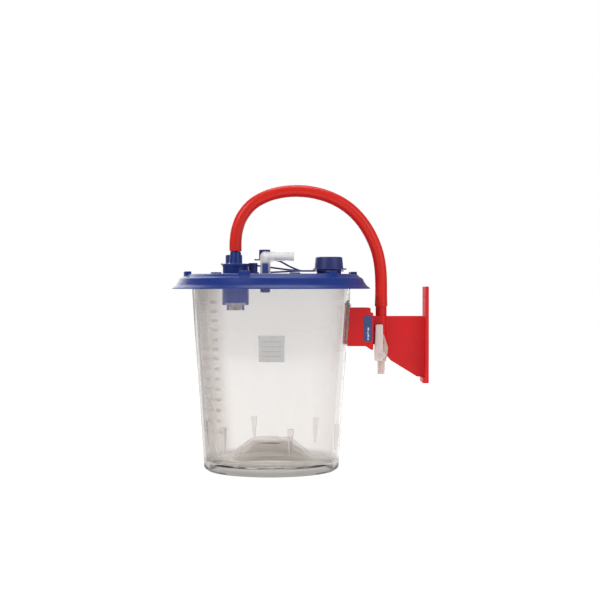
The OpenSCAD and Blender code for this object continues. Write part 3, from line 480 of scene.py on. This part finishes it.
# Painted shade: the thick foot is painted dark grey below 4 mm, fading out by 16 mm
toneByHeight(canisterClear, (0.3, 0.29, 0.28), start=0.016, end=0.004)
# Painted shade: the dome and floor inside the foot ring are painted a deeper grey-brown
paintDomeShade(canisterClear, (0.66, 0.63, 0.58), rim=0.066, top=0.034)
railFrosted = clearPlastic("railFrosted", (0.86, 0.8, 0.77), (0.8, 0.74, 0.71), 0.4, bend=1.2,
                           roughness=0.5, haze=0.1, waves=0.02)
linerFilm = clearPlastic("linerFilm", (0.72, 0.69, 0.66), (0.66, 0.63, 0.6), 0.0, roughness=0.3, haze=0.1,
                         streaks=0.5, waves=0.06, waveSize=40.0)
filmEdges(linerFilm, flat=0.04, edge=0.55, bracketSide=0.2)
housingBlueClear = clearPlastic("housingBlueClear", (0.012, 0.07, 0.6), (0.008, 0.05, 0.5), 0.45, bend=1.25,
                                roughness=0.18, haze=0.08, waves=0.03)
toneByHeight(housingBlueClear, (0.68, 0.66, 0.7), start=0.1765, end=0.1755, middleOnly=0.35)
elbowClear = clearPlastic("elbowClear", (0.87, 0.86, 0.85), (0.82, 0.81, 0.8), 0.5, bend=1.3, roughness=0.4,
                          haze=0.1, waves=0.05)
toneByHeight(elbowClear, (0.1, 0.13, 0.42), start=0.2195, end=0.2165, middleOnly=0.2)
valveClear = clearPlastic("valveClear", (0.8, 0.7, 0.64), (0.74, 0.65, 0.59), 0.5, bend=1.3, roughness=0.3,
                          haze=0.12, waves=0.05)
print("materials ready")


# The vacuum hose, from the nozzle over to the collar on the bracket
hoseSet = {"outer": 12.7, "bore": 7.2, "sides": 32, "steps": 6, "flare": 1.08, "flareLength": 16,
           "rimRounding": 1.1}
hoseRoute = inMetres([
    (-37, -20, 230), (-36.9, -20, 242), (-35.1, -19.8, 253.8), (-30, -19.2, 266.8), (-19.6, -18, 279.4),
    (-5.2, -16.2, 287.8), (10.2, -14, 292.3), (25.8, -12, 293.8), (41.9, -9.8, 292.7), (58, -7.6, 288.8),
    (73.2, -5.4, 282), (86.3, -3.6, 272.5), (97.5, -2.2, 259.9), (106.2, -1.2, 245.3), (112.2, -0.6, 229.8),
    (115.3, -0.2, 214), (116.3, 0, 198), (116.3, 0, 184), (116.3, 0, 172.2)])

def makeHose():
    path = smoothPath(hoseRoute, hoseSet["steps"])
    length = pathLength(path)
    along, sizes = 0, [1.0]
    for before, here in zip(path, path[1:]):
        along += (here - before).length
        near = max(0, 1 - (length - along) / (hoseSet["flareLength"] * mm))
        sizes.append(1 + (hoseSet["flare"] - 1) * near ** 2)
    bm = bmesh.new()
    sweep(bm, path, hoseSet["outer"] * mm, hoseSet["outer"] * mm, hoseSet["sides"], sizes)
    wall = (hoseSet["outer"] - hoseSet["bore"]) / 2 * mm
    bmesh.ops.recalc_face_normals(bm, faces=bm.faces)
    bmesh.ops.solidify(bm, geom=list(bm.faces), thickness=wall)
    rims = [edge for edge in bm.edges if edge.is_manifold and edge.calc_face_angle(0) > radians(60)]
    bmesh.ops.bevel(bm, geom=rims, offset=hoseSet["rimRounding"] * mm, offset_type="OFFSET", segments=4,
                    profile=0.5, affect="EDGES", material=-1)
    hose = addPiece("vacuumHose", closeMesh(bm, "vacuumHose"), hoseRed, "hose", ["hose"])
    print("hose made, length", round(length, 4))

makeHose()


# The clear canister: a turned wall with a domed floor, a raised pad with the rail, and six stacking wedges
canisterSet = {
    "footRadius": 71.3, "topRadius": 84.1, "height": 197, "wall": 2.4, "floor": 10, "floorRing": 24,
    "domeTop": 19.3, "domeHeight": 20, "rim": 91.1, "rimHeight": 3, "footWidth": 3.5, "footEdge": 3,
    "padThick": 2, "padLow": 131, "padHigh": 173, "padAngle": 35, "padSlope": 5, "padRows": (124, 180, 2),
    "wedges": 6, "wedgeTurn": 47, "wedgeWidth": 6.7, "wedgePoint": 0.12, "wedgeHeight": 27, "wedgeFoot": 22,
    "wedgeDepth": 3.3, "wedgeRounding": 0.35, "railNeck": 14, "railHead": 24, "railLow": 134,
    "railTop": 171, "railHeadThick": 3, "steps": 144,
}

def wallRadius(height):
    use = canisterSet
    return (use["footRadius"] + (use["topRadius"] - use["footRadius"]) * height / mm / use["height"]) * mm

def ramp(value, low, high):
    share = min(max((value - low) / (high - low), 0), 1)
    return share * share * (3 - 2 * share)

# Pushes the wall out into the pad, with a soft slope all round
def raisePad(verts):
    use = canisterSet
    slope = use["padSlope"]
    for vert in verts:
        height = vert.co.z / mm
        if abs(hypot(vert.co.x, vert.co.y) - wallRadius(vert.co.z)) < 0.05 * mm:
            aside = abs(atan2(vert.co.y, vert.co.x)) * wallRadius(vert.co.z) / mm
            reach = radians(use["padAngle"]) * wallRadius(vert.co.z) / mm
            share = (ramp(height, use["padLow"] - slope, use["padLow"])
                     * (1 - ramp(height, use["padHigh"], use["padHigh"] + slope))
                     * (1 - ramp(aside, reach - slope, reach)))
            out = Vector((vert.co.x, vert.co.y, 0)).normalized()
            vert.co += out * share * use["padThick"] * mm

def makeCanister():
    use = canisterSet
    wall, foot = use["wall"], use["footRadius"] - use["footEdge"]
    floor, top = use["floor"], use["height"]
    inner = wallRadius(floor * mm) / mm - wall
    domeFoot = inner - use["floorRing"]
    domeTop = floor + use["domeHeight"]
    deck = top - use["rimHeight"]
    first, last, step = use["padRows"]
    padRows = [(wallRadius(z * mm) / mm, z) for z in range(first, last + 1, step)]
    bm = bmesh.new()
    made = turned(bm, [
        (0, domeTop - wall), (use["domeTop"] - wall / 2, domeTop - wall, 2),
        (domeFoot - wall / 2, floor - wall, 2), (foot - use["footWidth"], floor - wall, 0.8),
        (foot - use["footWidth"], 0, 0.6), (foot, 0, 0.8),
        (wallRadius(use["footEdge"] * mm) / mm, use["footEdge"], 0.8)
    ] + padRows + [
        (wallRadius(deck * mm) / mm, deck, 0.8), (use["rim"], deck, 0.7), (use["rim"], top, 0.8),
        (use["topRadius"] - wall, top, 0.6), (inner, floor, 2.5), (domeFoot, floor, 2.5),
        (use["domeTop"], domeTop, 2), (0, domeTop)
    ], steps=use["steps"], closed=False)
    raisePad(made)
    addPiece("canisterShell", closeMesh(bm, "canisterShell"), canisterClear, "canister",
             ["canister"])

# The wedges stand inside the wall, sunk a little way into it, and lean with it
def makeWedges():
    use = canisterSet
    height, depth = use["wedgeHeight"] * mm, use["wedgeDepth"] * mm
    middle = use["wedgeFoot"] * mm + height / 2
    lean = atan2(use["topRadius"] - use["footRadius"], use["height"])
    reach = wallRadius(middle) - (use["wall"] - 0.1) * mm
    bm = bmesh.new()
    for i in range(use["wedges"]):
        made = bmesh.ops.create_cube(bm, size=1)["verts"]
        bmesh.ops.scale(bm, vec=(depth, use["wedgeWidth"] * mm, height), verts=made)
        low = [vert for vert in made if vert.co.z < 0]
        bmesh.ops.scale(bm, vec=(1, use["wedgePoint"], 1), verts=low)
        made = roundEdges(bm, made, use["wedgeRounding"] * mm)
        bmesh.ops.translate(bm, verts=made, vec=(-depth / 2, 0, 0))
        bmesh.ops.rotate(bm, verts=made, cent=(0, 0, 0), matrix=Matrix.Rotation(lean, 3, "Y"))
        bmesh.ops.translate(bm, verts=made, vec=(reach, 0, middle))
        turnAboutZ(bm, made, use["wedgeTurn"] + i * 360 / use["wedges"])
    addPiece("stackingWedges", closeMesh(bm, "stackingWedges"), canisterClear, "canister")

# The rail that the bracket's receiver slides on
def makeRail():
    use = canisterSet
    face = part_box("canister")[1].x
    tall = (use["railTop"] - use["railLow"]) * mm
    centre = (use["railTop"] + use["railLow"]) / 2 * mm
    head = use["railHeadThick"] * mm
    start = wallRadius(centre) + (use["padThick"] - 0.7) * mm  # sunk into the pad
    long = face - head - start + 0.1 * mm  # and into the head
    bm = bmesh.new()
    block(bm, ((start + face - head) / 2, 0, centre), (long, use["railNeck"] * mm, tall), 0.3 * mm)
    block(bm, (face - head / 2, 0, centre), (head, use["railHead"] * mm, tall), 0.5 * mm)
    addPiece("mountingRail", closeMesh(bm, "mountingRail"), railFrosted, "canister")

makeCanister()
makeWedges()
makeRail()
print("canister made")


# The print on the wall: a volume scale in millilitres at the front left, and lines on the front label
scaleSet = {"numberAngle": -134.5, "lineAngle": -159, "top": 177.3, "count": 14, "highest": 3000,
            "fall": 200, "digit": 4.6, "line": 24, "short": 5.5, "parts": 5, "thick": 0.6, "stand": 0.12}
labelSet = {"rows": (138, 133, 128, 123.5), "width": 19, "thick": 0.4, "stand": 0.06, "angle": -88.7}

# Bends a flat drawing, made in XZ, round the wall at an angle and a height
def wrapOnWall(verts, angle, height, stand):
    for vert in verts:
        up = height + vert.co.z
        radius = wallRadius(up) + stand
        turn = radians(angle) + vert.co.x / wallRadius(up)
        vert.co = Vector((radius * cos(turn), radius * sin(turn), up))

def standUp(bm, verts):
    bmesh.ops.rotate(bm, verts=verts, cent=(0, 0, 0), matrix=Matrix.Rotation(pi / 2, 3, "X"))

def printedBar(bm, width, height):
    made = bmesh.ops.create_grid(bm, x_segments=8, y_segments=1, size=0.5)["verts"]
    bmesh.ops.scale(bm, vec=(width, height, 1), verts=made)
    standUp(bm, made)
    return made

def printedNumber(text, size):
    drawing = bpy.data.curves.new("scaleText", "FONT")
    drawing.body = text
    drawing.size = size
    drawing.align_x = "CENTER"
    drawing.align_y = "CENTER"
    drawing.resolution_u = 3
    holder = bpy.data.objects.new("scaleText", drawing)
    scene.collection.objects.link(holder)
    mesh = bpy.data.meshes.new_from_object(holder)
    bpy.data.objects.remove(holder)
    bpy.data.curves.remove(drawing)
    return mesh

# Equal volumes stand further apart where the canister is narrower
def makeScale():
    use = scaleSet
    stand = use["stand"] * mm
    height = use["top"] * mm
    bm = bmesh.new()
    for i in range(use["count"]):
        mesh = printedNumber(str(use["highest"] - i * use["fall"]), use["digit"] * mm)
        known = set(bm.verts)
        bm.from_mesh(mesh)
        bpy.data.meshes.remove(mesh)
        number = [vert for vert in bm.verts if vert not in known]
        standUp(bm, number)
        wrapOnWall(number, use["numberAngle"], height, stand)
        step = use["fall"] * millilitre / (pi * wallRadius(height) ** 2)
        for j in range(use["parts"] if i < use["count"] - 1 else 1):
            width = use["short"] if j else use["line"]
            bar = printedBar(bm, width * mm, use["thick"] * mm)
            bmesh.ops.translate(bm, verts=bar, vec=(width / 2 * mm, 0, 0))
            wrapOnWall(bar, use["lineAngle"], height - step * j / use["parts"], stand)
        height -= step
    mesh = closeMesh(bm, "volumeScale", outwards=False)
    addPiece("volumeScale", mesh, inkGrey, "canister")

def makeLabelLines():
    use = labelSet
    low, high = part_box("front_label")
    stand = -low.y - wallRadius(high.z) + use["stand"] * mm
    bm = bmesh.new()
    for height in use["rows"]:
        bar = printedBar(bm, use["width"] * mm, use["thick"] * mm)
        wrapOnWall(bar, use["angle"], height * mm, stand)
    addPiece("labelLines", closeMesh(bm, "labelLines", outwards=False), inkGrey, "canister")

makeScale()
makeLabelLines()
print("print on the wall made")


# The liner that holds the fluid: a thin film that follows the canister and its dome
linerSet = {"film": 0.6, "corner": 5, "taper": 14.8, "floorRing": 24, "domeTop": 22, "domeHeight": 20,
            "seam": 3}

def makeLiner():
    use = linerSet
    low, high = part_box("liner")
    top, foot, wide = high.z / mm, low.z / mm, high.x / mm
    film, corner, base = use["film"], use["corner"], wide - use["taper"]
    seam = wide - use["seam"]
    domeFoot = wallRadius(canisterSet["floor"] * mm) / mm - use["floorRing"]
    domeTop = foot + use["domeHeight"]
    bm = bmesh.new()
    turned(bm, [
        (0, domeTop), (use["domeTop"], domeTop, 2), (domeFoot, foot, 2), (base, foot, corner),
        (wide, top), (seam, top), (seam, top - film), (wide - film - 0.4, top - film),
        (base - film, foot + film, corner), (domeFoot, foot + film, 2),
        (use["domeTop"], domeTop + film, 2), (0, domeTop + film)
    ], steps=canisterSet["steps"], closed=False)
    addPiece("linerFilm", closeMesh(bm, "linerFilm"), linerFilm, "lid", ["liner"])

makeLiner()
print("liner made")


# The lid: a flared lip over the canister's rim, a flat top with ports, and six grip lugs
lidSet = {"rounding": 0.7, "cornerOver": 14}
addRounded("lidShell", "lid", lidSet["rounding"], lidBlue, "lid",
           cornerOver=lidSet["cornerOver"], segments=3)
print("lid made")


# The filter housing under the lid, and the nozzle that the hose is pushed on
housingSet = {"rounding": 0.25}
nozzleSet = {"flange": 14, "flangeHeight": 3.3, "groove": 0.4, "foot": 6.6, "top": 5.6, "neck": 12.5,
             "bore": 2.1, "stem": 3.1, "barb": 0.2, "barbs": (6, 10), "barbTaper": 2}

def makeNozzle():
    low, high, middle = boxOf("vacuum_nozzle")
    foot, top, use = low.z / mm, high.z / mm, nozzleSet
    flange, neck, stem = use["flange"], use["foot"], use["stem"]
    deck = foot + use["flangeHeight"]
    grooved = deck - use["groove"]
    neckTop = deck + use["neck"]
    first, second = (neckTop + barb for barb in use["barbs"])
    bm = bmesh.new()
    turned(bm, [
        (use["bore"], foot), (flange, foot, 0.3), (flange, deck, 0.8), (flange - 2.2, deck, 0.2),
        (flange - 2.6, grooved, 0.2), (neck + 2.2, grooved, 0.3), (neck + 1.6, deck, 0.5),
        (neck, deck + 0.6, 0.8), (use["top"], neckTop, 0.8), (stem, neckTop, 0.2),
        (stem, first), (stem + use["barb"], first), (stem, first + use["barbTaper"]),
        (stem, second), (stem + use["barb"], second), (stem, top, 0.2), (use["bore"], top)
    ], at=(middle.x, middle.y), steps=72)
    addPiece("vacuumNozzle", closeMesh(bm, "vacuumNozzle"), lidBlue, "lid", ["vacuum_nozzle"])

addRounded("filterHousing", "filter_housing", housingSet["rounding"], housingBlueClear, "lid")
makeNozzle()
print("filter housing and nozzle made")


# The four push-on caps. Each row says the side its finger tab is on, in degrees
capSet = {
    "pourCap": {"node": "pour_cap", "bore": 13.35, "skirt": 1.1, "flange": 16.9, "tab": 0},
    "tallCap": {"node": "tall_cap", "bore": 5.05, "skirt": 0, "flange": 7.35, "tab": 180},
    "wideCap": {"node": "wide_cap", "bore": 8.05, "skirt": 0, "flange": 10.35, "tab": 180},
    "smallCap": {"node": "small_cap", "bore": 3.95, "skirt": 0, "flange": 6.25, "tab": 120},
}
capShape = {"flangeHeight": 1.4, "roof": 2, "wallShare": 0.39, "skirtShare": 0.45, "dish": 0.82,
            "dishDepth": 0.4, "edge": 0.35, "edgeShare": 0.09, "tabReach": 5, "tabWidth": 6,
            "tabRounding": 0.5, "ridge": (0.7, 4.4, 0.5), "ridgeIn": 1.1}

def capCentre(row):
    low, high, middle = boxOf(row["node"])
    flange = row["flange"] * mm
    x = low.x + flange if row["tab"] == 0 else high.x - flange
    y = middle.y if row["tab"] in (0, 180) else low.y + flange
    return Vector((x, y))

def makeCap(name):
    row, use = capSet[name], capShape
    low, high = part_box(row["node"])
    centre, foot, top = capCentre(row), low.z / mm, high.z / mm
    bore, flange = row["bore"], row["flange"]
    wall = bore + (flange - bore) * use["wallShare"] + row["skirt"] * use["skirtShare"]
    wallTop = wall - row["skirt"]
    deck, roof, floor = foot + use["flangeHeight"], top - use["roof"], top - use["dishDepth"]
    dish = use["dish"] * wallTop
    edge = use["edge"] + use["edgeShare"] * wallTop
    bm = bmesh.new()
    turned(bm, [
        (0, floor), (dish - 0.5, floor, 0.2), (dish, top, 0.2), (wallTop, top, edge), (wall, deck, 0.35),
        (flange, deck, 0.4), (flange, foot, 0.3), (bore, foot, 0.25), (bore, roof, 0.3), (0, roof)
    ], at=centre, steps=72, closed=False)
    turned(bm, [(0, top - 0.1), (0.7, top - 0.1, 0.2), (0.9, top - 0.5), (0, top - 0.5)], at=centre,
           steps=16, closed=False)
    reach = {0: high.x - centre.x, 180: centre.x - low.x}.get(row["tab"], (wall + use["tabReach"]) * mm)
    start = (wall + 0.3) * mm
    thick = use["flangeHeight"] * mm
    tab = block(bm, ((start + reach) / 2, 0, foot * mm + thick / 2),
                (reach - start, use["tabWidth"] * mm, thick * 0.98), use["tabRounding"] * mm, segments=3)
    ridge = block(bm, (reach - use["ridgeIn"] * mm, 0, foot * mm + thick), Vector(use["ridge"]) * mm,
                  0.15 * mm)
    turnAboutZ(bm, tab + ridge, row["tab"])
    bmesh.ops.translate(bm, verts=tab + ridge, vec=(centre.x, centre.y, 0))
    addPiece(name, closeMesh(bm, name), capBlue, row["node"], [row["node"]])

for name in capSet:
    makeCap(name)
print("caps made")


# The tether: a ring round the pour spout, and a strap to each of the three smaller caps
tetherSet = {"inner": 13.4, "width": 2.3, "height": 1.2, "strapHeight": 1.9, "sides": 16,
             "tongueWidth": 3.3, "tongue": [(40, 1.2), (33, 3)]}
strapSet = {
    "strap_tall": {"cap": "tall_cap", "fork": 4, "capSide": 10, "middle": [(20, 8, 213.9), (9, 10, 219.7)]},
    "strap_wide": {"cap": "wide_cap", "fork": 6.2, "capSide": 21.5,
                   "middle": [(17, 16, 210.9), (-6, 21.5, 214), (-22, 21.5, 216.1)]},
    "strap_small": {"cap": "small_cap", "fork": 1.2, "capSide": None,
                    "middle": [(18, 1, 208.8), (0, 2, 207.9)]},
}

def makeTetherRing():
    use = tetherSet
    low, high, middle = boxOf("tether_ring")
    inner, outer = use["inner"], use["inner"] + use["width"]
    centre = (high.x - outer * mm, middle.y)
    foot, top = low.z / mm, high.z / mm
    level = (foot + top) / 2
    bm = bmesh.new()
    turned(bm, [(inner, foot, 0.25), (outer, foot, 0.3), (outer, top, 0.3), (inner, top, 0.25)],
           at=centre, steps=72)
    start = (centre[0] / mm - outer + 0.6, 0, level)
    tongue = inMetres([start] + [(x, y, level) for x, y in use["tongue"]])
    sweep(bm, smoothPath(tongue, 6), use["tongueWidth"] * mm, use["strapHeight"] * mm, use["sides"])
    closeEnds(bm)
    addPiece("tetherRing", closeMesh(bm, "tetherRing"), capBlue, "lid", ["tether_ring"])

# A strap starts at the tongue's fork on the lid, and ends at its cap at the other end
def makeStrap(node):
    use, row = tetherSet, strapSet[node]
    low, high, middle = boxOf(node)
    halfWidth, rise = use["width"] / 2 * mm, use["height"] / 2 * mm
    capSide = middle.y if row["capSide"] is None else row["capSide"] * mm
    capEnd = Vector((low.x + halfWidth, capSide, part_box(row["cap"])[0].z + rise))
    fork = Vector((high.x - halfWidth, row["fork"] * mm, boxOf("tether_ring")[2].z))
    between = [point + Vector((0, 0, rise)) for point in inMetres(row["middle"])]
    bm = bmesh.new()
    sweep(bm, smoothPath([fork] + between + [capEnd], 10), use["width"] * mm, use["strapHeight"] * mm,
          use["sides"])
    closeEnds(bm)
    name = "tether" + node.split("_")[1].capitalize()
    strap = addPiece(name, closeMesh(bm, name), capBlue, None, [node])
    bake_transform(strap)

makeTetherRing()
for node in strapSet:
    makeStrap(node)
print("tether made")


# The swivelling inlet elbow
elbowSet = {"rounding": 0.3}
addRounded("inletElbow", "elbow", elbowSet["rounding"], elbowClear, "elbow")
print("elbow made")


# The wall bracket: the receiver on the canister's rail, the arm with its wall plate, and the hose collar
bracketSet = {"receiverRounding": 0.7, "armRounding": 0.6, "collarRounding": 0.3, "markStand": 0.05,
              "marks": ((0.4, 149, 1.6, 3.0), (0, 145.3, 1.1, 2.2), (0.4, 142.2, 1.7, 2.6),
                        (0.1, 138.8, 1.2, 2.4))}

# Plain pale marks on the bracket's label. Each row: across, height, width, length
def makeMarks():
    low, high, middle = boxOf("bracket_label")
    face = low.y - bracketSet["markStand"] * mm
    bm = bmesh.new()
    for across, height, width, long in bracketSet["marks"]:
        mark = printedBar(bm, width * mm, long * mm)
        bmesh.ops.translate(bm, verts=mark, vec=(middle.x + across * mm, face, height * mm))
    addPiece("labelMarks", closeMesh(bm, "labelMarks", outwards=False), markWhite, "bracket")

for name, node, rounding in (("receiverShell", "receiver", bracketSet["receiverRounding"]),
                             ("bracketArm", "bracket_arm", bracketSet["armRounding"]),
                             ("hoseCollar", "hose_barb", bracketSet["collarRounding"])):
    addRounded(name, node, rounding, bracketRed, "bracket")
makeMarks()
print("bracket made")


# The on and off valve: a milky body with a shield, and a white lever
valveSet = {"bodyRounding": 0.35, "leverRounding": 0.7}
addRounded("valveBody", "valve_body", valveSet["bodyRounding"], valveClear, "bracket")
addRounded("valveLever", "valve_lever", valveSet["leverRounding"], whitePlastic, "lever",
           segments=3)
print("valve made")


# Finishes for the CAD nodes that stay as they are
nodeFinishes = {"lid_gasket": sealRubber, "filter_disc": filterWhite, "float": whitePlastic,
                "front_label": labelGrey, "bracket_label": labelBlue, "receiver_screws": steel,
                "port_seal": sealRubber, "valve_plug": whitePlastic, "plug_seals": sealRubber,
                "plug_clip": steel, "lever_screw": whitePlastic}
for node, finish in nodeFinishes.items():
    for place in nodes[node].material_slots:
        place.material = finish
print("nodes finished")


# The studio: a pale floor, a bright surround and large soft lights
studioSet = {
    "floorSize": 6, "floorGlow": 0.875, "surround": 0.42, "reflected": 0.3,
    "lights": {
        "keyLeft": {"at": (-1.1, -1.2, 1.3), "size": 0.9, "power": 12},
        "fillRight": {"at": (1.3, -1.0, 0.8), "size": 1.0, "power": 6},
        "top": {"at": (0.1, 0.2, 1.7), "size": 1.2, "power": 12},
        "back": {"at": (-0.5, 1.4, 0.9), "size": 1.2, "power": 9},
    },
}

def makeFloor():
    bm = bmesh.new()
    bmesh.ops.create_grid(bm, x_segments=1, y_segments=1, size=studioSet["floorSize"] / 2)
    mesh = closeMesh(bm, "floor", outwards=False)
    material = bpy.data.materials.new("paleFloor")
    material.use_nodes = True
    tree = material.node_tree
    shader = tree.nodes["Principled BSDF"]
    cloud = spread(tree, noise(tree, objectPlace(tree), 3.0, 3.0), 0.0, 1.0)
    tint = mixColors(tree, cloud, (0.29, 0.29, 0.29, 1), (0.32, 0.32, 0.32, 1))
    tree.links.new(tint, shader.inputs["Base Color"])
    shader.inputs["Roughness"].default_value = 0.9
    shader.inputs["Specular IOR Level"].default_value = 0.1
    shader.inputs["Emission Color"].default_value = (1, 1, 1, 1)
    shader.inputs["Emission Strength"].default_value = studioSet["floorGlow"]
    mesh.materials.append(material)
    floor = bpy.data.objects.new("floor", mesh)
    scene.collection.objects.link(floor)

def makeLights():
    target = (cadLow + cadHigh) / 2
    for name, row in studioSet["lights"].items():
        data = bpy.data.lights.new(name, "AREA")
        data.size = row["size"]
        data.energy = row["power"]
        light = bpy.data.objects.new(name, data)
        scene.collection.objects.link(light)
        light.location = row["at"]
        light.rotation_euler = (target - Vector(row["at"])).to_track_quat("-Z", "Y").to_euler()

# The surround looks white, and lights the object more gently than that
def makeSurround():
    world = bpy.data.worlds.new("surround")
    scene.world = world
    world.use_nodes = True
    tree = world.node_tree
    seen = addNode(tree, "ShaderNodeLightPath").outputs
    direct = mathNode(tree, "MAXIMUM", seen["Is Camera Ray"], seen["Is Transmission Ray"])
    soft = remap(tree, seen["Is Glossy Ray"], 0.0, 1.0, studioSet["surround"], studioSet["reflected"])
    level = remap(tree, direct, 0.0, 1.0, soft, 1.0)
    tree.links.new(level, tree.nodes["Background"].inputs["Strength"])
    tree.nodes["Background"].inputs["Color"].default_value = (1, 1, 1, 1)

makeFloor()
makeLights()
makeSurround()
scene.view_settings.view_transform = "Standard"
print("studio ready")
